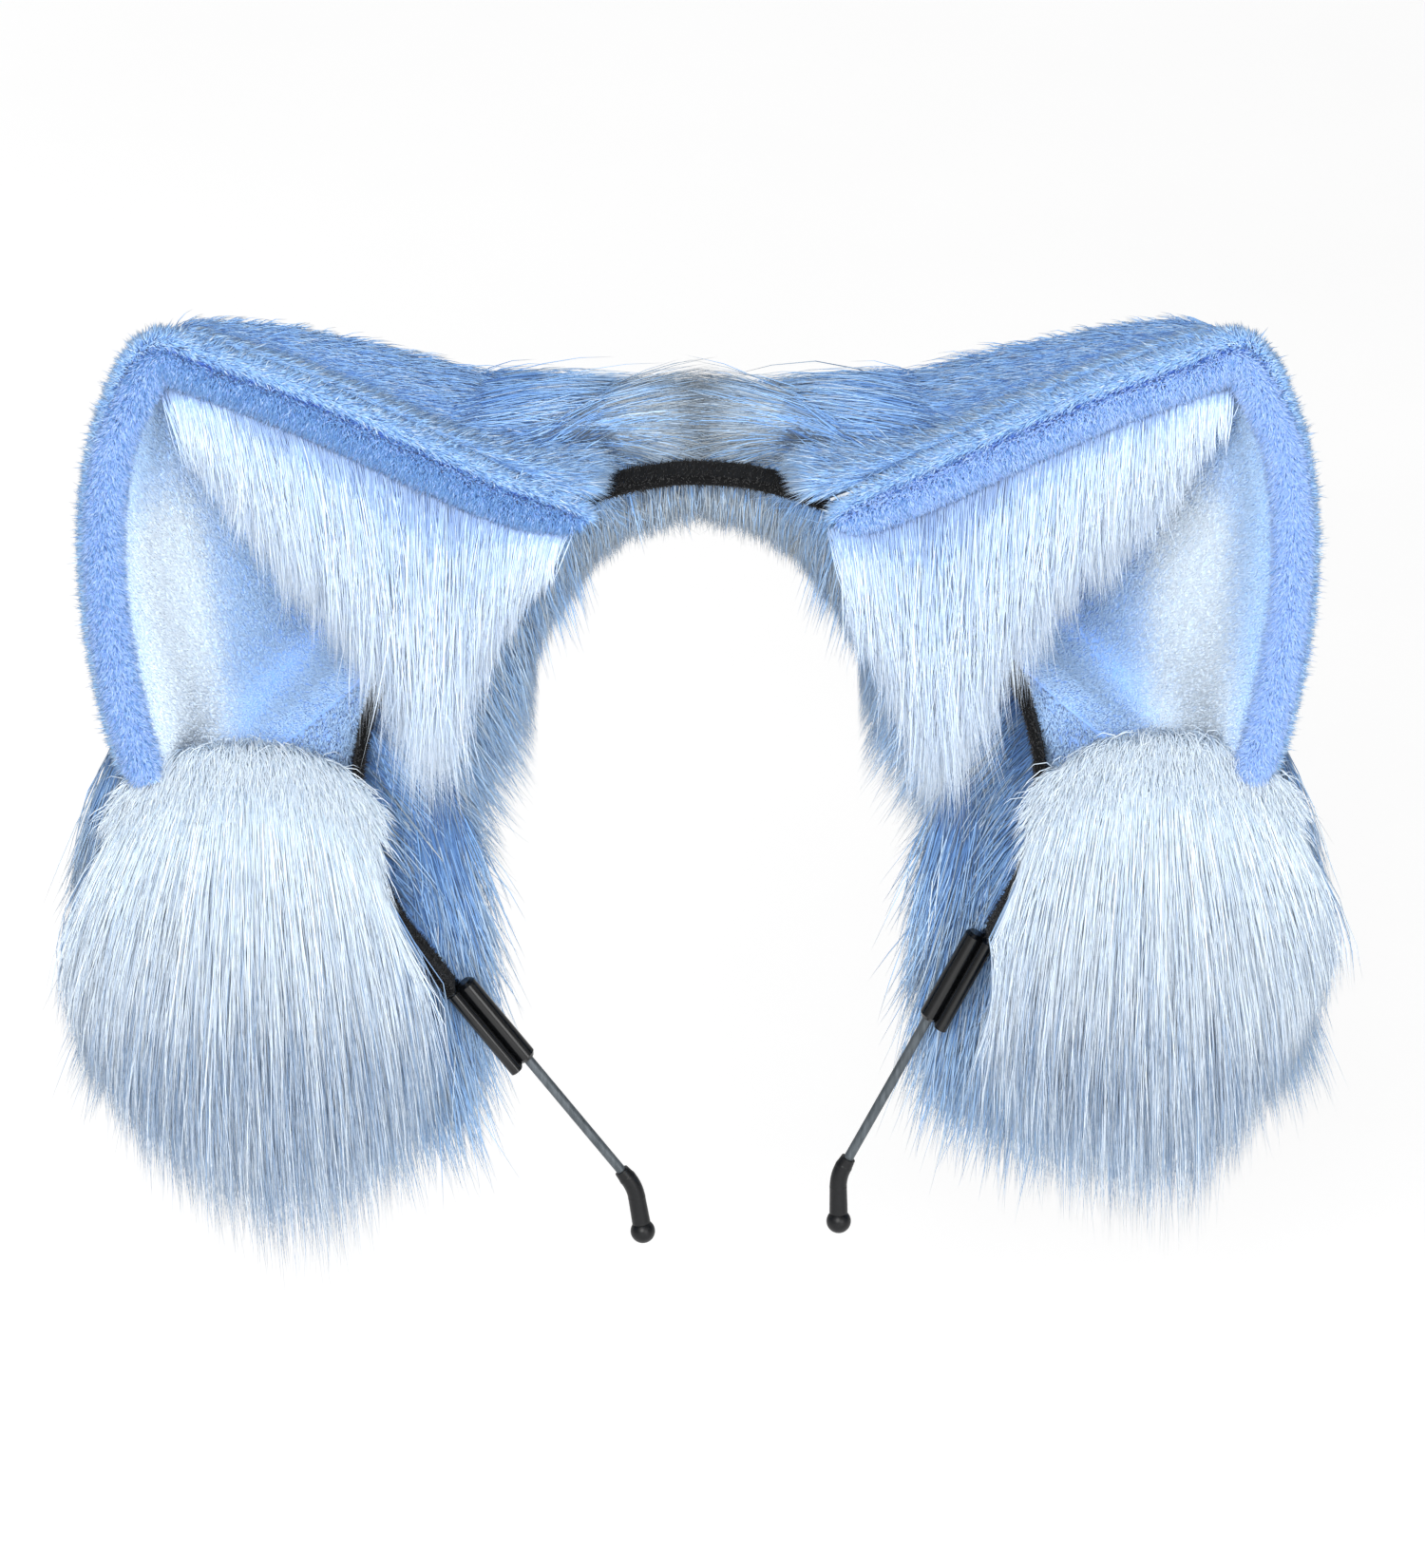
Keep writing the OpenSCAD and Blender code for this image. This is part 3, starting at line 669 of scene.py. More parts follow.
# ------------------------------------------------------------------ the two ears
for side, sg in SIDES:
    seed = 100 if side == "right" else 500
    rng = np.random.default_rng(seed)
    hp, hn = hoop_line(side)
    ht = np.stack([hn[:, 1], -hn[:, 0]], axis=1)
    hl = np.concatenate([[0], np.cumsum(np.linalg.norm(np.diff(hp, axis=0), axis=1))])

    # ---- fur fabric behind the ear: its backing cloth
    S, T = np.meshgrid(np.linspace(0, 1, 44), np.concatenate([[-0.05, -0.035, -0.018], np.linspace(0, 0.995, 34)]), indexing="ij")
    T = np.where(T < 0, T * np.clip((S - 0.04) / 0.2, 0.15, 1), T)
    hem = np.clip(-T / 0.05, 0, 1)[..., None] ** 1.5
    A, B = skin(S, T, 2.6 - 1.9 * hem), skin(S, T, 1.6 - 1.5 * hem)
    fold = 0.35 * np.sin(S * 23 + T * 7) * np.sin(T * 15) * np.sin(S * math.pi)
    nrm, _, _ = cup_frame(S, T)
    A = A + nrm * fold[..., None]
    u_lip = rim_c(np.clip(T[0], 0, 1) * 0.45)
    o_lip = rim_c(1 - np.clip(T[-1], 0, 1) * 0.45)
    A = np.concatenate([(u_lip + [0, 2.2, 2.2])[None], A, (o_lip + [2.2, 2.2, 0])[None]])
    B = np.concatenate([(u_lip + [0, 1.2, 1.2])[None], B, (o_lip + [1.2, 1.2, 0])[None]])
    point = rim_c(np.linspace(0.45, 0.55, len(A)))[:, None]
    A = np.concatenate([A, point + [0, 2.4, 1.0]], axis=1)
    B = np.concatenate([B, point + [0, 1.4, 0.4]], axis=1)
    cloth = shell(f"{side}_ear_back_cloth", A, B, [back_cloth], sg)
    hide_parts(f"{side}_fur_back")

    # ---- pile of the back: short beside the seam, combed inwards along the top and down behind
    n = 46000
    s, t = area_samples(lambda a, b: skin(a, b, 2.6), n, rng, t0=-0.04)
    nrm, ds, dt = cup_frame(s, t)
    root = skin(s, t, 2.0)
    flow = np.zeros((n, 3))
    top = np.clip(1.15 - s / 0.5, 0, 1)
    flow[:, 0] = -1.0 * top - 0.30 * (1 - top)
    flow[:, 1] = 0.18
    flow[:, 2] = -0.10 * top - 1.0 * (1 - top)
    flow = unit(flow - (flow * nrm).sum(-1, keepdims=True) * nrm)
    near = np.clip((s - 0.01) / 0.12, 0, 1)
    long = np.clip(1.1 - t / 0.62, 0, 1)
    L = (2.4 + 3.6 * near + 13.0 * near * long) * (0.75 + 0.5 * rng.random(n))
    stand = (0.58 - 0.40 * near * (0.55 + 0.45 * long))[:, None]
    d0 = unit(nrm * stand + flow * (1.0 - 0.35 * stand) + (0.20 - 0.10 * long[:, None]) * rng.normal(size=(n, 3)))
    P = fibre_path(root, d0, L, 4, gravity=0.30, gdir=(-0.3, 0, -1))
    P = clump(P, rng, 1800, 0.28, 1.3, 0.2)
    P = wobble(P, rng, 0.014 * L)
    P[..., 1] = np.maximum(P[..., 1], 4.6 + 2.0 * rng.random(n)[:, None] - 14.0 * np.clip((P[..., 0] - 23) / 8, 0, 1))
    tone = rng.choice(5, size=n, p=[0.36, 0.24, 0.2, 0.10, 0.10])
    # painted shade: fibres nearer the middle, under the band, take the grey shade tones
    grey = rng.random(n) < np.clip((16 - P[:, 2, 0]) / 14.0, 0, 0.75)
    strands(f"{side}_ear_back_pile", P, 0.105 + 0.045 * rng.random(n),
            np.where(grey, 5 + rng.integers(0, 3, n), tone), BLUE_BACK + CROWN_SHADE_GREYS, rng, sg)

    # ---- long hair from the medial edge of the back, across the crown and inside the arch
    n = 15000
    s = rng.random(n) ** 0.9 * 0.62
    t = rng.random(n) ** 1.2 * 0.38 - 0.03
    nrm, _, _ = cup_frame(s, t)
    root = skin(s, t, 2.0)
    w = np.clip((s - 0.06) / 0.44, 0, 1)[:, None]
    up = unit(np.stack([-1.0 + 0 * s, 0.22 + 0 * s, 0.25 - 0.50 * rng.random(n)], axis=1))
    dn = unit(np.stack([-0.75 + 0.15 * rng.random(n), 0.12 + 0 * s, -0.72 + 0 * s], axis=1))
    d0 = unit(up * (1 - w) + dn * w + 0.14 * nrm * (1 - 0.5 * w) + 0.050 * rng.normal(size=(n, 3)))
    L = (27 + 14 * rng.random(n)) * (1 - 0.6 * np.maximum(t, 0))
    P = fibre_path(root, d0, L, 5, gravity=0.26)
    P = clump(P, rng, 420, 0.35, 1.3, 0.6)
    P = wobble(P, rng, 0.026 * L)
    P[..., 0] = np.where(P[..., 0] < -3, -3 + 0.25 * (P[..., 0] + 3), P[..., 0])
    # hair near the middle stays behind the ribbon, so that the ribbon shows
    low_y = 4.6 + 3.0 * rng.random(n)[:, None] - 14.0 * np.clip((P[..., 0] - 23) / 8, 0, 1)
    P[..., 1] = np.maximum(P[..., 1], low_y)
    P = inside_arch(P, 3.0 * rng.random(n) - 1.5)
    # painted shade: hair nearer the middle, under the band, mostly takes the grey shade tones
    grey = rng.random(n) < np.clip((15 - P[:, 3, 0]) / 14.0, 0.03, 0.8)
    strands(f"{side}_crown_hair", P, 0.10 + 0.045 * rng.random(n),
            np.where(grey, 8 - 3 + rng.integers(0, 3, n), rng.choice(5, size=n, p=[.34, .2, .26, .06, .14])),
            BLUE_BACK + CROWN_SHADE_GREYS, rng, sg)
    n = 3600
    s = 0.24 * rng.random(n)
    t = 0.13 * rng.random(n) - 0.03
    root = skin(s, t, 2.0)
    d0 = unit(np.stack([-1.0 + 0 * s, 0.10 + 0.1 * rng.random(n), 0.62 - 0.36 * rng.random(n)], axis=1) + 0.06 * rng.normal(size=(n, 3)))
    L = 22 + 12 * rng.random(n)
    P = fibre_path(root, d0, L, 5, gravity=0.24)
    P = clump(P, rng, 140, 0.35, 1.3, 0.6)
    P = wobble(P, rng, 0.03 * L)
    P[..., 0] = np.where(P[..., 0] < -4, -4 + 0.25 * (P[..., 0] + 4), P[..., 0])
    P[..., 1] = np.maximum(P[..., 1], 4.6 + 3.0 * rng.random(n)[:, None] - 14.0 * np.clip((P[..., 0] - 23) / 8, 0, 1))
    # painted shade: hair nearer the middle, under the band, mostly takes the grey shade tones
    grey = rng.random(n) < np.clip((14 - P[:, 3, 0]) / 12.0, 0.03, 0.85)
    strands(f"{side}_crown_top_hair", P, 0.10 + 0.045 * rng.random(n),
            np.where(grey, 5 + rng.integers(0, 3, n), rng.choice(5, size=n, p=[.34, .2, .26, .06, .14])),
            BLUE_BACK + CROWN_SHADE_GREYS, rng, sg)

    # ---- pile over the cloth's lips, where it turns over to the roll, and its short closing hair by the band
    n = 14000
    t = np.where(rng.random(n) < 0.25, 0.16 * rng.random(n) - 0.045, rng.random(n) * 1.03 - 0.03)
    low = rng.random(n) < 0.28
    w = rng.random(n)[:, None]
    tc = np.clip(t, 0, 0.985)
    inner_e = rim_c(np.clip(t, 0, 1) * 0.45) + [0, 1.0, 2.0]
    inner_o = rim_c(1 - np.clip(t, 0, 1) * 0.45) + [2.0, 1.0, 0]
    root = np.where(low[:, None], inner_o * (1 - w) + skin(np.ones(n), tc, 2.4) * w,
                    inner_e * (1 - w) + skin(0.02 * rng.random(n), np.minimum(t, 0.985), 2.4) * w)
    face = np.where(low[:, None], np.array([0.85, 0.35, 0.1]), np.array([-0.15, 0.05, 0.90]))
    flow = np.where(low[:, None], np.array([-0.10, 0.50, -0.85]), np.array([-1.0, 0.15, -0.36]))
    d0 = unit(0.42 * face + flow + 0.22 * rng.normal(size=(n, 3)))
    L = (2.6 + 2.4 * rng.random(n)) * (1 + 0.9 * np.clip(1 - t / 0.25, 0, 1) * ~low)
    P = fibre_path(root, d0, L, 3, gravity=0.15)
    strands(f"{side}_lip_pile", P, 0.12 + 0.05 * rng.random(n), rng.choice(5, size=n, p=[.34, .24, .2, .14, .08]),
            BLUE_BACK, rng, sg)
    n = 3800
    s = 0.14 * rng.random(n)
    t = -0.05 + 0.07 * rng.random(n)
    root = skin(s, t, (-3.0 + 5.5 * rng.random(n))[:, None])
    w = rng.random(n)[:, None]
    by_roll = rim_c(0.05 * rng.random(n)) + [0.5, 0.5, 1.0]
    root = np.where((rng.random(n) < 0.36)[:, None], by_roll * w + skin(0.0 * s, t, 0.0) * (1 - w), root)
    d0 = unit(np.array([-0.90, -0.12, 0.05]) + 0.24 * rng.normal(size=(n, 3)))
    P = fibre_path(root, d0, 3.0 + 4.5 * rng.random(n), 4, gravity=0.20)
    P = clump(P, rng, 190, 0.25, 1.3, 0.4)
    strands(f"{side}_corner_hair", P, 0.12 + 0.04 * rng.random(n), rng.choice(5, size=n, p=[.34, .2, .26, .06, .14]),
            BLUE_BACK, rng, sg)

    # ---- drape inside the arch: roots along the back of the hoop, hair flowing in and down
    n = 11000
    top_l, end_l = 0.5, hl[-1] - 4
    at = top_l + (end_l - top_l) * rng.random(n)
    ix = np.clip(np.searchsorted(hl, at), 0, len(hl) - 1)
    frac = at / hl[-1]
    off = -1.0 + (2.2 + 9.0 * np.clip((-60 - hp[ix, 1]) / 8, 0, 1)) * rng.random(n)
    root = np.zeros((n, 3))
    root[:, 0] = hp[ix, 0] + hn[ix, 0] * off
    root[:, 2] = hp[ix, 1] + hn[ix, 1] * off
    root[:, 1] = 5.0 + 5.0 * rng.random(n) + 3.0 * np.sin(frac * math.pi)
    d0 = np.zeros((n, 3))
    turn = np.clip((frac - 0.45) / 0.55, 0, 1)
    d0[:, 0] = -hn[ix, 0] * (1 - 0.55 * turn)
    d0[:, 2] = -hn[ix, 1] * (1 - turn) - 0.40 - 0.55 * turn
    d0[:, 1] = 0.16 + 0.1 * rng.random(n)
    d0 = unit(d0 + 0.12 * rng.normal(size=(n, 3)))
    L = (15 + 27 * np.clip(frac / 0.35, 0, 1) ** 1.2 - 4 * turn) * (0.62 + 0.42 * rng.random(n))
    P = fibre_path(root, d0, L, 5, gravity=0.45)
    P = clump(P, rng, 420, 0.6, 1.4, 0.6)
    P = wobble(P, rng, 0.05 * L)
    P[..., 1] = np.maximum(P[..., 1], 3.6)
    P = inside_arch(P, 4.0 * rng.random(n) - 2.0)
    # painted shade: hair near the top of the arch, under the band, takes the grey shade tones, fewer further down
    grey = rng.random(n) < np.clip(1.0 - frac / 0.42, 0.06, 0.9)
    strands(f"{side}_arch_hair", P, 0.14 + 0.06 * rng.random(n),
            np.where(grey, 5 + rng.integers(0, 3, n), rng.choice(5, size=n, p=[.3, .28, .16, .2, .06])),
            BLUE_LONG + CROWN_SHADE_GREYS, rng, sg)

    # ---- back skirt: a cloth panel and its long blue hair
    def panel(a, b, y):
        a, b = np.broadcast_arrays(np.asarray(a, float), np.asarray(b, float))
        x = 79 + (a * 2 - 1) * (32 - 8 * b ** 2) - 4 * b
        z = -64 - 46 * b - 5 * np.sin(np.pi * a)
        yy = y + 7 * np.sin(np.pi * np.clip(a, 0, 1)) * (1 - 0.3 * b) + 0.5 * np.sin(a * 17 + b * 3)
        return np.stack([x, yy, z], axis=-1)

    a, b = np.meshgrid(np.linspace(0, 1, 30), np.linspace(0, 1, 24), indexing="ij")
    sheet = shell(f"{side}_skirt_cloth", panel(a, b, 8.4), panel(a, b, 7.2), [long_cloth], sg)
    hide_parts(f"{side}_back_skirt")
    n = 12000
    a, b = rng.random(n), rng.random(n) ** 0.85
    front = rng.random(n) < 0.45
    root = np.where(front[:, None], panel(a, b, 7.0), panel(a, b, 8.6))
    out = (a * 2 - 1)
    d0 = unit(np.stack([0.30 * out - 0.06, np.where(front, -0.10, 0.42), -1.0 + 0 * a], axis=1) + 0.08 * rng.normal(size=(n, 3)))
    zt = root[:, 2]
    L = (45 + 4 * (side == "left")) * (0.72 + 0.34 * rng.random(n)) * (1 - 0.30 * np.abs(out + 0.2) ** 2.2)
    P = fibre_path(root, d0, L, 5, gravity=0.35)
    P = clump(P, rng, 360, 0.6, 1.4, 0.8)
    P = wobble(P, rng, 0.05 * L)
    P[..., 1] = np.maximum(P[..., 1], 3.4)
    k = np.clip((P[:, 0, 2] + 158 - 10 * rng.random(n)) / np.maximum(P[:, 0, 2] - P[:, -1, 2], 1), 0.4, 1.0)
    P = P[:, :1] + (P - P[:, :1]) * k[:, None, None]
    bluer = rng.random(n) < 0.55 - 0.35 * out
    strands(f"{side}_skirt_hair", P, 0.15 + 0.06 * rng.random(n),
            np.where(bluer, rng.choice(5, size=n, p=[.3, .28, .16, .2, .06]), 5 + rng.integers(0, 4, n)),
            BLUE_LONG + GREY_LONG, rng, sg)

    # ---- inner plush: the striped cloth, turned out over the rim in a soft fillet
    TT = np.concatenate([[-0.05, -0.035, -0.018], np.linspace(0, 0.995, 34)])

    def lined(s, t, d=-3.1):
        """The plush's face; the last part towards the outer rim rises to the roll's front."""
        s, t = np.broadcast_arrays(np.asarray(s, float), np.asarray(t, float))
        hem = np.clip(-t / 0.05, 0, 1) ** 1.5
        edge = 0.84
        base = skin(np.minimum(s, edge), t, (d + (-0.2 - d) * hem)[..., None])
        w = np.clip((s - edge) / (1 - edge), 0, 1)[..., None]
        _, g, _ = cup_frame(np.full_like(s, edge), t)
        tc = np.clip(t, 0, 1)
        c = rim_c(1 - tc * 0.45)
        ends = c + np.array([-1.7, -1.9 + (d + 3.1) * 0.5, 0.0])
        span = np.linalg.norm(ends - base, axis=-1, keepdims=True)
        out = bez(base, base + unit(g) * span * 0.45, ends + np.array([-0.80, 0.42, 0]) * span * 0.42, ends, w)
        return np.where((s > edge)[..., None], out, base)

    S, T = np.meshgrid(np.concatenate([np.linspace(0, 0.84, 40), np.linspace(0.86, 1, 12)]), TT, indexing="ij")
    T = np.where(T < 0, T * np.clip((S - 0.04) / 0.2, 0.15, 1), T)
    A, B = lined(S, T, -3.1), lined(S, T, -2.2) + np.array([0, 0.3, 0])
    lip = rim_c(np.clip(T[0], 0, 1) * 0.45) + np.array([0, 2.0, -1.5])
    A = np.concatenate([lip[None], A])
    B = np.concatenate([lip[None] + [0, 0.8, 0.4], B])
    point = rim_c(np.linspace(0.45, 0.55, len(A)))[:, None] + np.array([0, 0.6, 0])
    A = np.concatenate([A, point], axis=1)
    B = np.concatenate([B, point + [0, 0.9, 0]], axis=1)
    inner = shell(f"{side}_inner_plush", B, A, [plush], sg)
    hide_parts(f"{side}_plush_inner")

    def stripe_tone(x, z, s, t):
        """0 is blue, about 0.45 the lighter blue, 1 the pale stripe; x and z in mm."""
        x0 = 93.4 + 0 * z if side == "right" else 100.0 + 0.12 * (z + 22)
        wide = 9.6 if side == "right" else 8.6
        band = np.exp(-(np.abs(x - x0) / wide) ** 3)
        inside = np.clip((x0 - x) / 10.0, 0, 1)
        band = band * np.clip((9 - z) / 22, 0, 1)
        return np.clip(band + 0.05 * inside * (1 - band), 0, 1)

    me = inner.data
    co = np.empty(len(me.vertices) * 3, dtype=np.float32)
    me.vertices.foreach_get("co", co)
    co = co.reshape(-1, 3) / MM
    val = stripe_tone(np.abs(co[:, 0]), co[:, 2], None, None)
    att = me.attributes.new("stripe", "FLOAT", "POINT")
    att.data.foreach_set("value", val.astype(np.float32))

    n = 84000
    s, t = area_samples(lined, n, rng, t0=-0.04, t1=0.999)
    root = lined(s, t)
    e = 0.006
    nrm = unit(np.cross(lined(s, t + e) - lined(s, t - e), lined(np.minimum(s + e, 1), t) - lined(np.minimum(s + e, 1) - 2 * e, t)))
    toward = np.array([80.0, -60.0, -10.0]) - root
    nrm *= -np.sign((nrm * toward).sum(-1, keepdims=True))
    root = root + 0.15 * nrm
    comb = np.stack([0 * s, 0 * s, -1 + 0 * s], axis=1)
    comb = comb - (comb * nrm).sum(-1, keepdims=True) * nrm
    d0 = unit(-nrm * 0.95 + 0.60 * comb + 0.20 * rng.normal(size=(n, 3)))
    L = 0.7 + 0.5 * rng.random(n)
    P = fibre_path(root, d0, L, 2)
    v = stripe_tone(root[:, 0], root[:, 2], s, t) + 0.12 * rng.normal(size=n)
    tone = np.select([v < 0.12, v < 0.3, v < 0.55, v < 0.8], [0, 1, 2, 3], 4)
    tone = np.where((tone == 0) & (rng.random(n) < 0.5), 1, tone)
    strands(f"{side}_inner_nap", P, 0.25 + 0.06 * rng.random(n), tone, INNER_NAP, rng, sg, tip_from=0.4)

    # ---- gusset: the plush flap that closes the ear's floor down to the hoop
    gs = np.array([0.40, 0.45, 0.50, 0.55, 0.60, 0.70, 0.80, 0.90, 0.97])
    gp = np.array([[51.0, 5.6, -31], [57.5, 5.6, -39.5], [61.8, 5.4, -47.5], [65.2, 5.2, -57], [68.0, 4.6, -65],
                   [78.5, 3.5, -69], [88, 2.0, -71], [95, 0.0, -69], [99, -2.0, -65]])

    def gusset(a, b):
        """a from 0 to 1 along the ear's base, b from its edge down to the hoop"""
        a, b = np.broadcast_arrays(np.asarray(a, float), np.asarray(b, float))
        ss = 0.40 + 0.57 * a
        top_e = skin(ss, np.full_like(ss, -0.045), -0.9)
        low_e = np.stack([np.interp(ss, gs, gp[:, i]) for i in range(3)], axis=-1)
        out = top_e * (1 - b[..., None]) + low_e * b[..., None]
        out[..., 1] -= 2.2 * np.sin(np.pi * b) * np.clip(np.minimum(a, 1 - a) * 6, 0, 1)
        return out

    a, b = np.meshgrid(np.linspace(0, 1, 40), np.linspace(0, 1, 9), indexing="ij")
    G = gusset(a, b)
    flap = shell(f"{side}_ear_gusset", G + [0, 1.0, 0], G, [plush], sg)
    co = np.empty(len(flap.data.vertices) * 3, dtype=np.float32)
    flap.data.vertices.foreach_get("co", co)
    co = co.reshape(-1, 3) / MM
    att = flap.data.attributes.new("stripe", "FLOAT", "POINT")
    att.data.foreach_set("value", stripe_tone(np.abs(co[:, 0]), co[:, 2], None, None).astype(np.float32))
    n = 7000
    a, b = rng.random(n), rng.random(n)
    root = gusset(a, b)
    d0 = unit(np.array([0, -1.0, -0.35]) + 0.35 * rng.normal(size=(n, 3)))
    P = fibre_path(root, d0, 1.4 + 0.9 * rng.random(n), 2)
    v = stripe_tone(root[:, 0], root[:, 2], None, None) + 0.10 * rng.normal(size=n)
    strands(f"{side}_gusset_nap", P, 0.19 + 0.06 * rng.random(n),
            np.select([v < 0.14, v < 0.35, v < 0.55, v < 0.8], [rng.integers(0, 2, n), 1, 2, 3], 4), INNER_NAP, rng, sg,
            tip_from=0.4)

    # ---- the rolled rim: padded tube with a sewn crease, its nap and its stitches
    at, q, tn, nn, length = rim_line(150)
    phi = np.linspace(0, 2 * math.pi, 32, endpoint=False)
    Q = np.repeat(q[:, None], 32, axis=1)
    NN = np.repeat(nn[:, None], 32, axis=1)
    PH = np.repeat(phi[None], 150, axis=0)
    lump = 0.16 * np.sin(at * 61)[:, None] * np.cos(PH * 2 + 1) + 0.12 * np.sin(at * 151 + 2)[:, None] * np.cos(PH * 3)
    ends = np.minimum(np.arange(150) / 9.0, np.arange(150)[::-1] / 5.0)
    taper = np.sqrt(np.clip(1 - (1 - np.clip(ends, 0, 1)) ** 2, 0, 1))
    if side == "left":
        # this roll reaches a little further in along the band
        q[:, 0] -= 5.0 * np.clip(1 - at / 0.10, 0, 1) ** 2
        Q = np.repeat(q[:, None], 32, axis=1)
    R = roll_point(Q, NN, PH, np.repeat(at[:, None], 32, axis=1), lift=lump * taper[:, None] - 1.5 - 2.8 * (1 - taper[:, None]))
    mid_q = q - roll_shape(at)[0][:, None] * nn
    verts = np.concatenate([R.reshape(-1, 3), mid_q[:1], mid_q[-1:]])
    if sg < 0:
        verts[:, 0] *= -1
    fs = grid_faces(150, 32, close_v=True)
    j = np.arange(32)
    c0 = np.stack([np.full(32, 150 * 32), j, (j + 1) % 32], axis=1)
    c1 = np.stack([np.full(32, 150 * 32 + 1), 149 * 32 + (j + 1) % 32, 149 * 32 + j], axis=1)
    fs = [fs, c0, c1]
    if sg < 0:
        fs = [x[:, ::-1] for x in fs]
    roll = make(f"{side}_rim_padding", verts, fs, [rim_cloth])
    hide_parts(f"{side}_rim_roll")

    n = 62000
    k = rng.integers(0, 149, n)
    f = rng.random(n)[:, None]
    qq, nv = q[k] * (1 - f) + q[k + 1] * f, unit(nn[k] * (1 - f) + nn[k + 1] * f)
    uu = at[k] * (1 - f[:, 0]) + at[k + 1] * f[:, 0]
    ph = (rng.random(n) * 1.25 - 0.45) * math.pi
    root = roll_point(qq, nv, ph, uu, lift=-1.7 - 2.6 * (1 - taper[k]))
    shift, _, seam = roll_shape(uu)
    nrm = unit(root - (qq - shift[:, None] * nv))
    along = unit(tn[k])
    seam_d = np.abs(ph - seam) * 1.0
    behind = ph > seam + 0.10
    L = np.where(seam_d < 0.13, 0.9, 1.6) + 0.9 * rng.random(n) ** 1.5 + np.where(behind, 1.3 * np.clip((ph - seam) / 0.5, 0, 1), 0)
    L[rng.random(n) < 0.05] *= 1.35
    d0 = unit(nrm + along * np.where(behind, -0.9, 0.2)[:, None] + np.array([0, 0, -0.25]) + 0.42 * rng.normal(size=(n, 3)))
    P = fibre_path(root, d0, L, 3, gravity=0.2)
    tone = rng.choice(4, size=n, p=[0.36, 0.28, 0.24, 0.12])
    # painted shade: much of the upper roll's nap, most on the left, and a scattering elsewhere take the darker rim
    # shade tones
    upper = (uu + 0.05 * rng.normal(size=n) < 0.50) & (rng.random(n) < (0.80 if side == "left" else 0.22))
    upper = upper | (rng.random(n) < (0.30 if side == "left" else 0.08))
    tone = np.where(upper, 11 + rng.integers(0, 3, n), tone)
    # painted shade: nap in the seam's crease takes the darker seam tones
    tone = np.where(seam_d < 0.15, 4 + rng.integers(0, 2, n), tone)
    tone = np.where(behind & (rng.random(n) < 0.9), 6 + rng.choice(5, size=n, p=[.30, .25, .22, .18, .05]), tone)
    strands(f"{side}_rim_nap", P, 0.15 + 0.06 * rng.random(n), tone, RIM_NAP + SEAM_SHADE + BLUE_BACK + RIM_SHADE, rng, sg,
            tip_from=0.45)

    # stitches along the crease
    count = int(length / 2.6)
    at2, q2, t2, n2, _ = rim_line(count)
    if side == "left":
        q2[:, 0] -= 5.0 * np.clip(1 - at2 / 0.10, 0, 1) ** 2
    mids = roll_point(q2, n2, roll_shape(at2)[2], at2, lift=np.full(count, -1.05))
    mid_2 = q2 - roll_shape(at2)[0][:, None] * n2
    vs, fs = [], []
    for i in range(3, int(count * 0.62)):
        d, nrm = t2[i], unit(mids[i] - mid_2[i])
        b = np.cross(d, nrm)
        base = len(vs)
        for u, r in ((-0.85, 0.10), (-0.6, 0.27), (0.0, 0.32), (0.6, 0.27), (0.85, 0.10)):
            for a in range(6):
                ca, sa = math.cos(a * math.pi / 3), math.sin(a * math.pi / 3)
                vs.append(mids[i] + d * u + nrm * (r * ca + 0.18 * (1 - u * u)) + b * r * sa)
        for w in range(4):
            for a in range(6):
                fs.append([base + w * 6 + a, base + w * 6 + (a + 1) % 6, base + (w + 1) * 6 + (a + 1) % 6, base + (w + 1) * 6 + a])
    vs, fs = np.array(vs), np.array(fs)
    caps = []
    for i in range((len(vs)) // 30):
        caps.append([i * 30 + a for a in range(5, -1, -1)])
        caps.append([i * 30 + 24 + a for a in range(6)])
    caps = np.array(caps)
    if sg < 0:
        vs[:, 0] *= -1
        fs, caps = fs[:, ::-1], caps[:, ::-1]
    make(f"{side}_seam_stitches", vs, [fs, caps], [thread])

    # ---- upper tuft: a sewn strip under the roll and long ice-white locks
    knots = ([0, 0.1, 0.2, 0.34, 0.5, 0.66, 0.82, 1.0], [12, 23, 40, 62, 50, 41, 33, 15]) if side == "left" else \
            ([0, 0.1, 0.26, 0.40, 0.55, 0.7, 0.85, 1.0], [22, 37, 62, 50, 38, 31, 24, 11])
    leans = ([0, 0.15, 0.35, 0.6, 1.0], [0.46, 0.20, 0.0, -0.20, -0.34]) if side == "left" else \
            ([0, 0.15, 0.30, 0.6, 1.0], [0.26, 0.14, 0.0, -0.10, -0.10])

    def tuft_root(v):
        v = np.asarray(v, float)
        return rim_u(0.01 + 0.97 * v) + vec(0, RIM_Y + 1.2, 0, v) + np.stack([0.6 + 0.6 * v, 0 * v, -7.4 - 2.6 * v * v], axis=-1)

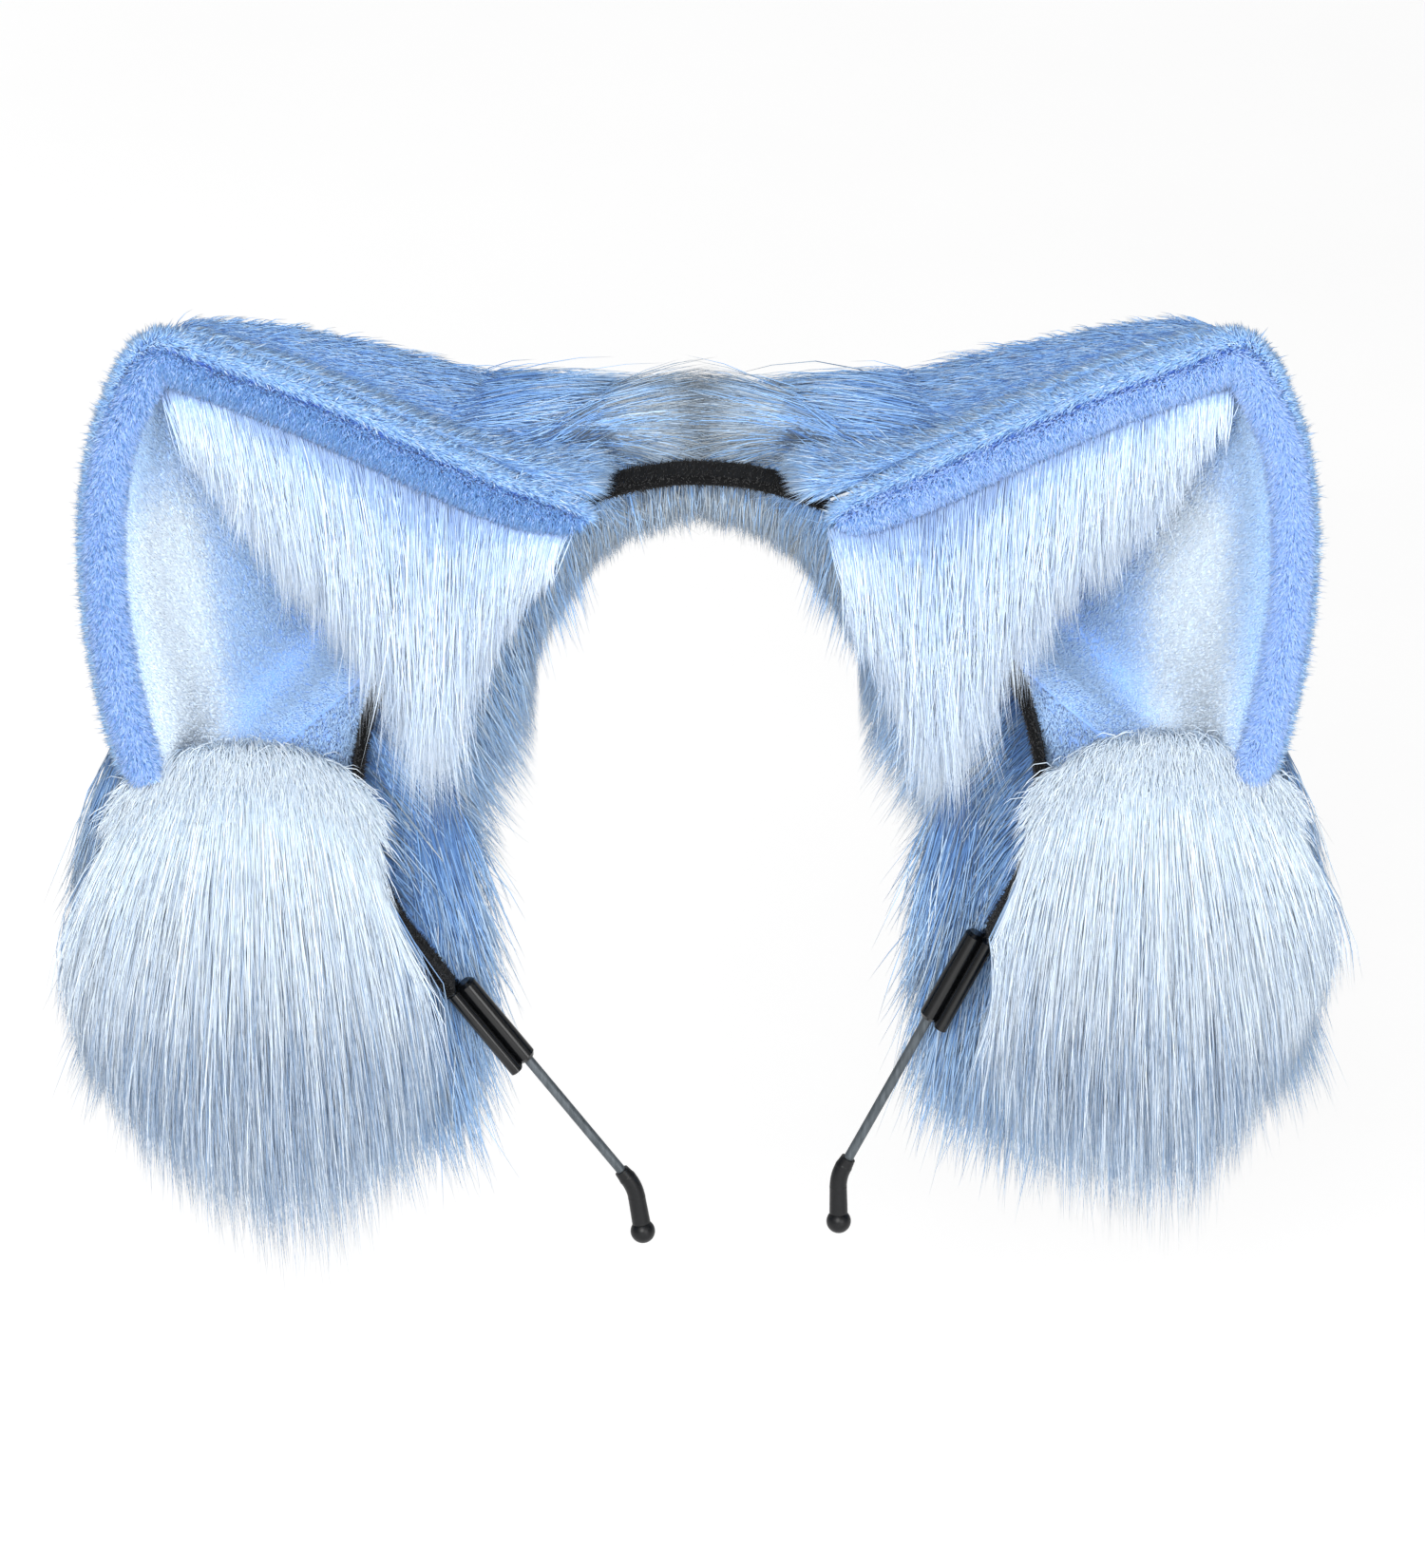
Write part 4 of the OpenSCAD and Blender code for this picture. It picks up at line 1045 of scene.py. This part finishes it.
    v, h = np.meshgrid(np.linspace(0, 1, 40), np.linspace(0, 1, 6), indexing="ij")
    h = h * np.clip(np.minimum(v / 0.14, (1 - v) / 0.12), 0.12, 1)
    A = tuft_root(v) + np.stack([0 * h, -0.9 + 3.0 * h, 1.4 - 10.0 * h], axis=-1)
    B = A + np.array([0, 0.9, 0])
    strip = shell(f"{side}_tuft_strip", B, A, [white_cloth], sg)
    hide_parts(f"{side}_upper_tuft")
    n = 13000
    v = rng.random(n)
    h = rng.random(n) ** 1.3 * np.clip(np.minimum(v / 0.14, (1 - v) / 0.12), 0.1, 1)
    root = tuft_root(v) + np.stack([0 * h, -0.8 + 3.0 * h, 1.0 - 8.5 * h], axis=-1)
    root[:, 0] += rng.normal(size=n) * (1.9 * np.clip((v - 0.80) / 0.2, 0, 1) + 1.2 * np.clip(1 - v / 0.12, 0, 1))
    drop = np.interp(v, *knots)
    L = drop * (0.46 + 0.60 * rng.random(n) ** 0.9)
    lean = np.interp(v, *leans)
    d0 = unit(np.stack([lean, -0.52 + 0.25 * h, -1.0 + 0 * v], axis=1) + 0.10 * rng.normal(size=(n, 3)))
    P = fibre_path(root, d0, L, 5, gravity=0.55)
    P = clump(P, rng, 210, 0.66, 1.6, 0.5)
    P = wobble(P, rng, 0.03 * L)
    tone = rng.choice(4, size=n, p=[.36, .24, .32, .08])
    strands(f"{side}_tuft_hair", P, 0.105 + 0.05 * rng.random(n), tone, WHITE_UP, rng, sg)

    # ---- base tuft: a domed pad and its fan of white hair
    xc = 88.0 if side == "right" else 86.0
    zc = -73.0 if side == "right" else -75.0
    # the arm's sleeve and the hoop, which hair in front keeps beside
    lean = math.radians(HOOP[side][2])
    lx = np.concatenate([hp[:, 0], [hp[-1, 0] - math.sin(lean) * 20.4 + 1.5]])
    lz = np.concatenate([hp[:, 1], [hp[-1, 1] - math.cos(lean) * 20.4]])
    low = lz < -62
    bx, bz = lx[low][::-1], lz[low][::-1]
    o = np.argsort(bz)
    bx, bz = bx[o], bz[o]

    def beside(P):
        """Keeps hair that lies in front of the hoop on its outer side, and clear of the sleeve."""
        line = np.interp(P[..., 2], bz, bx) - 1.6 + 6.6 * np.clip((hp[-1, 1] + 2 - P[..., 2]) / 5, 0, 1)
        fade = np.clip((P[..., 2] - (bz[0] - 8)) / 8, 0, 1)
        line = line * fade + (line - 8) * (1 - fade)
        P[..., 0] = np.where(P[..., 0] < line, line + 0.12 * (P[..., 0] - line), P[..., 0])
        return P

    if side == "left":
        low_x, low_z = [48, 56, 63, 68, 81, 92, 102, 110, 116, 124], [-133, -141, -149, -155, -153, -146, -138, -128, -117, -100]
    else:
        low_x, low_z = [44, 52, 59, 66, 74, 88, 95, 104, 112, 122], [-124, -131, -137, -141, -144, -148, -145, -132, -118, -96]

    def trim(P, r, over=0.0):
        """Shortens each fibre so that the fan keeps the tuft's outline below; r is how ragged it is."""
        lowest = np.interp(P[:, -1, 0], low_x, low_z) - over + r
        drop = P[:, 0, 2] - P[:, -1, 2]
        k = np.clip((P[:, 0, 2] - lowest) / np.maximum(drop, 1), 0.3, 1.0)
        return P[:, :1] + (P - P[:, :1]) * k[:, None, None]

    def pad(a, b, d):
        """a across and b down, both -1 to 1"""
        a, b = np.broadcast_arrays(np.asarray(a, float), np.asarray(b, float))
        x, z = a * np.sqrt(1 - b * b / 2), b * np.sqrt(1 - a * a / 2)
        rr = np.clip(x * x + z * z, 0, 1)
        return np.stack([xc + 1.5 + (22 + 5 * z) * x, -5.6 - d * np.sqrt(1 - rr * 0.97), zc - 1 - 17 * z], axis=-1)

    a, b = np.meshgrid(np.linspace(-1, 1, 26), np.linspace(-1, 1, 22), indexing="ij")
    base_pad = shell(f"{side}_tuft_pad", pad(a, b, 0.6), pad(a, b, 6.5), [white_cloth], sg)
    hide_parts(f"{side}_base_tuft")
    n = 29000
    th, rr = rng.random(n) * 2 * math.pi, np.sqrt(rng.random(n))
    x, z = rr * np.cos(th), rr * np.sin(th)
    root = np.stack([xc + (26 + 5 * z) * x, -5.8 - 6.2 * np.sqrt(np.clip(1 - rr * rr * 0.97, 0, 1)), zc - 21 * z], axis=-1)
    lift = 0.50 - 0.24 * (z * 0.5 + 0.5)
    def wide_of(x):
        return np.where(x > 0, 0.88, 0.52) if side == "left" else np.where(x > 0, 0.74, 0.54)

    wide = wide_of(x)
    d0 = unit(np.stack([wide * x + 0.04, -lift, -0.86 - 0.14 * z], axis=1) + 0.07 * rng.normal(size=(n, 3)))
    short = rng.random(n)
    L = (53 + 13 * z) * (1 - 0.40 * np.maximum(x, 0) ** 1.7 - 0.18 * np.maximum(-x, 0) ** 2) * (0.44 + 0.70 * short ** 4.0)
    L *= 1.14 if side == "left" else 1.04
    P = fibre_path(root, d0, L, 5, gravity=0.70)
    # the fan closes again below
    u = (np.arange(5) / 4.0) ** 2
    P[..., 0] -= (x * 10.0 + (4.0 if side == "left" else 0.5))[:, None] * u[None] * (0.55 + 0.45 * z)[:, None] * (L / 55.0)[:, None]
    P = clump(P, rng, 700, 0.24, 2.2, 0.5)
    P = wobble(P, rng, 0.026 * L)
    P = trim(P, 26 * rng.random(n) ** 1.6 - 2, 3.0)
    P = beside(P)
    # the long low ones turn grey-blue at their tips
    deep = (P[:, -1, 2] < -118) & (rng.random(n) < 0.52)
    tone = np.where(deep, 4 + rng.integers(0, 2, n), rng.choice(4, size=n, p=[.36, .26, .28, .10]))
    strands(f"{side}_base_tuft_hair", P, 0.090 + 0.050 * rng.random(n), tone, WHITE_LOW + SNOW_BLUE, rng, sg)

    # blue-grey hair under the white, which shows between the long tips
    n = 7000
    th, rr = rng.random(n) * 2 * math.pi, np.sqrt(rng.random(n))
    x, z = rr * np.cos(th), rr * np.sin(th)
    z = np.abs(z) * 1.1 - 0.1
    root = np.stack([xc + (26 + 5 * z) * x, -5.4 - 3.0 * np.sqrt(np.clip(1 - rr * rr * 0.97, 0, 1)), zc - 21 * z], axis=-1)
    d0 = unit(np.stack([wide_of(x) * 0.86 * x + 0.03, -0.10 + 0 * x, -0.86 - 0.14 * z], axis=1) + 0.08 * rng.normal(size=(n, 3)))
    L = (53 + 13 * z) * (1 - 0.36 * np.maximum(x, 0) ** 1.7 - 0.18 * np.maximum(-x, 0) ** 2) * (0.62 + 0.42 * rng.random(n))
    L *= 1.12 if side == "left" else 1.03
    P = fibre_path(root, d0, L, 5, gravity=0.55)
    u = (np.arange(5) / 4.0) ** 2
    P[..., 0] -= (x * 9.0 + (4.0 if side == "left" else 0.5))[:, None] * u[None] * (0.55 + 0.45 * z)[:, None]
    P = clump(P, rng, 300, 0.5, 1.6, 0.6)
    P = wobble(P, rng, 0.035 * L)
    P = trim(P, 14 * rng.random(n) ** 1.5 - 2, 4.0)
    P = beside(P)
    tone = np.where(rng.random(n) < 0.34 - 0.3 * x, rng.choice(5, size=n, p=[.3, .2, .26, .08, .16]), 5 + rng.integers(0, 4, n))
    tone = np.where(rng.random(n) < 0.42, 9 + rng.integers(0, 2, n), tone)
    strands(f"{side}_base_tuft_under_hair", P, 0.132 + 0.055 * rng.random(n), tone,
            BLUE_LONG + GREY_LONG + SNOW_BLUE, rng, sg)

    # hair round the outer side, between the front tuft and the skirt
    n = 6400
    h = rng.random(n)
    y = rng.random(n)
    root = np.stack([101.0 + 8.0 * np.sin(np.pi * y) - 5 * h + 2 * rng.random(n), -3.5 + 14.0 * y, -56 - 36 * h], axis=-1)
    d0 = unit(np.stack([0.40 + 0 * h, -0.30 + 0.8 * y, -1.0 + 0 * h], axis=1) + 0.09 * rng.normal(size=(n, 3)))
    L = (30 + 12 * h) * (0.7 + 0.4 * rng.random(n))
    P = fibre_path(root, d0, L, 5, gravity=0.5)
    P = clump(P, rng, 220, 0.5, 1.5, 0.6)
    P = wobble(P, rng, 0.04 * L)
    strands(f"{side}_side_hair", P, 0.12 + 0.05 * rng.random(n),
            np.where(rng.random(n) < 0.35, rng.integers(0, 5, n), 5 + rng.integers(0, 4, n)),
            BLUE_LONG + GREY_LONG, rng, sg)

    # the ear's back hair falls over the top of the skirt
    n = 7000
    s = 0.22 + 0.76 * rng.random(n)
    t = -0.03 + 0.17 * rng.random(n)
    nrm, _, _ = cup_frame(s, t)
    root = skin(s, t, 2.0)
    d0 = unit(np.array([-0.12, 0.10, -1.0]) + 0.55 * nrm + 0.09 * rng.normal(size=(n, 3)))
    L = (20 + 12 * rng.random(n)) * (0.75 + 0.25 * np.sin(np.pi * s))
    P = fibre_path(root, d0, L, 5, gravity=0.5)
    P = clump(P, rng, 300, 0.42, 1.4, 0.6)
    P = wobble(P, rng, 0.03 * L)
    P[..., 1] = np.maximum(P[..., 1], root[:, None, 1] + 0.3)
    strands(f"{side}_back_fall_hair", P, 0.122 + 0.055 * rng.random(n), rng.choice(5, size=n, p=[.34, .2, .26, .06, .14]),
            BLUE_BACK, rng, sg)

    # soft collar of short fine hair where the white fur meets the plush
    n = 13000
    x = (rng.random(n) * 2 - 1)
    arch = np.sqrt(np.clip(1 - x * x * 0.9, 0, 1))
    deep = 1.30 * rng.random(n) ** 0.8 - 0.30
    root = np.stack([xc + 24.0 * x, -3.6 - 3.0 * arch - 3.0 * deep, zc + 20.5 * arch - 12 * deep], axis=-1)
    d0 = unit(np.stack([0.28 * x, -0.42 - 0.25 * deep, 0.10 - 0.95 * np.abs(deep)], axis=1) + 0.18 * rng.normal(size=(n, 3)))
    L = 5 + 12 * np.maximum(deep, 0) * rng.random(n) + 3.5 * rng.random(n)
    P = fibre_path(root, d0, L, 4, gravity=0.75)
    P = wobble(P, rng, 0.04 * L)
    strands(f"{side}_tuft_collar_hair", P, 0.10 + 0.04 * rng.random(n), rng.choice(4, size=n, p=[.4, .2, .35, .05]),
            WHITE_LOW, rng, sg)

# ------------------------------------------------------------------ floor, light, camera
floor_mat = patterned("floor_pale", lin(250, 250, 250), lin(254, 254, 254), 3, 0.9, bump=0.02, dist=0.001)
floor_mat.node_tree.nodes["Principled BSDF"].inputs["Emission Color"].default_value = (1, 1, 1, 1)
floor_mat.node_tree.nodes["Principled BSDF"].inputs["Emission Strength"].default_value = 0.24
me = bpy.data.meshes.new("floor")
w = 30.0
z = -0.40
me.from_pydata([(-w, -w, z), (w, -w, z), (w, w, z), (-w, w, z)], [], [(0, 1, 2, 3)])
me.materials.append(floor_mat)
floor = bpy.data.objects.new("floor", me)
bpy.context.scene.collection.objects.link(floor)

scene = bpy.context.scene
world = bpy.data.worlds.new("studio")
scene.world = world
world.use_nodes = True
bg = world.node_tree.nodes["Background"]
bg.inputs["Color"].default_value = (1, 1, 1, 1)
bg.inputs["Strength"].default_value = 0.60


def lamp(name, loc, aim, size, watts, colour=(1, 1, 1)):
    d = bpy.data.lights.new(name, "AREA")
    d.shape = "DISK"
    d.size = size
    d.energy = watts
    d.color = colour
    o = bpy.data.objects.new(name, d)
    scene.collection.objects.link(o)
    o.location = loc
    o.rotation_euler = (Vector(aim) - Vector(loc)).to_track_quat("-Z", "Y").to_euler()
    return o


lamp("key", (-0.28, -1.80, 0.88), (0, 0, -0.06), 0.9, 38)
lamp("fill", (0.9, -1.5, 0.25), (0, 0, -0.06), 0.9, 12)

cam = bpy.data.cameras.new("camera")
camera = bpy.data.objects.new("camera", cam)
scene.collection.objects.link(camera)
dist = 6.0
el = math.radians(24)
aim = Vector((0.0027, 0, -0.0633))
camera.location = aim + dist * Vector((0, -math.cos(el), math.sin(el)))
camera.rotation_euler = (aim - camera.location).to_track_quat("-Z", "Y").to_euler()
cam.sensor_fit = "VERTICAL"
cam.sensor_height = 24.0
cam.sensor_width = 24.0
cam.lens = 24.0 * dist / 0.297
cam.clip_start = 0.05
cam.clip_end = 100
scene.camera = camera
scene.view_settings.view_transform = "Standard"
scene.view_settings.look = "None"

bpy.context.view_layer.update()
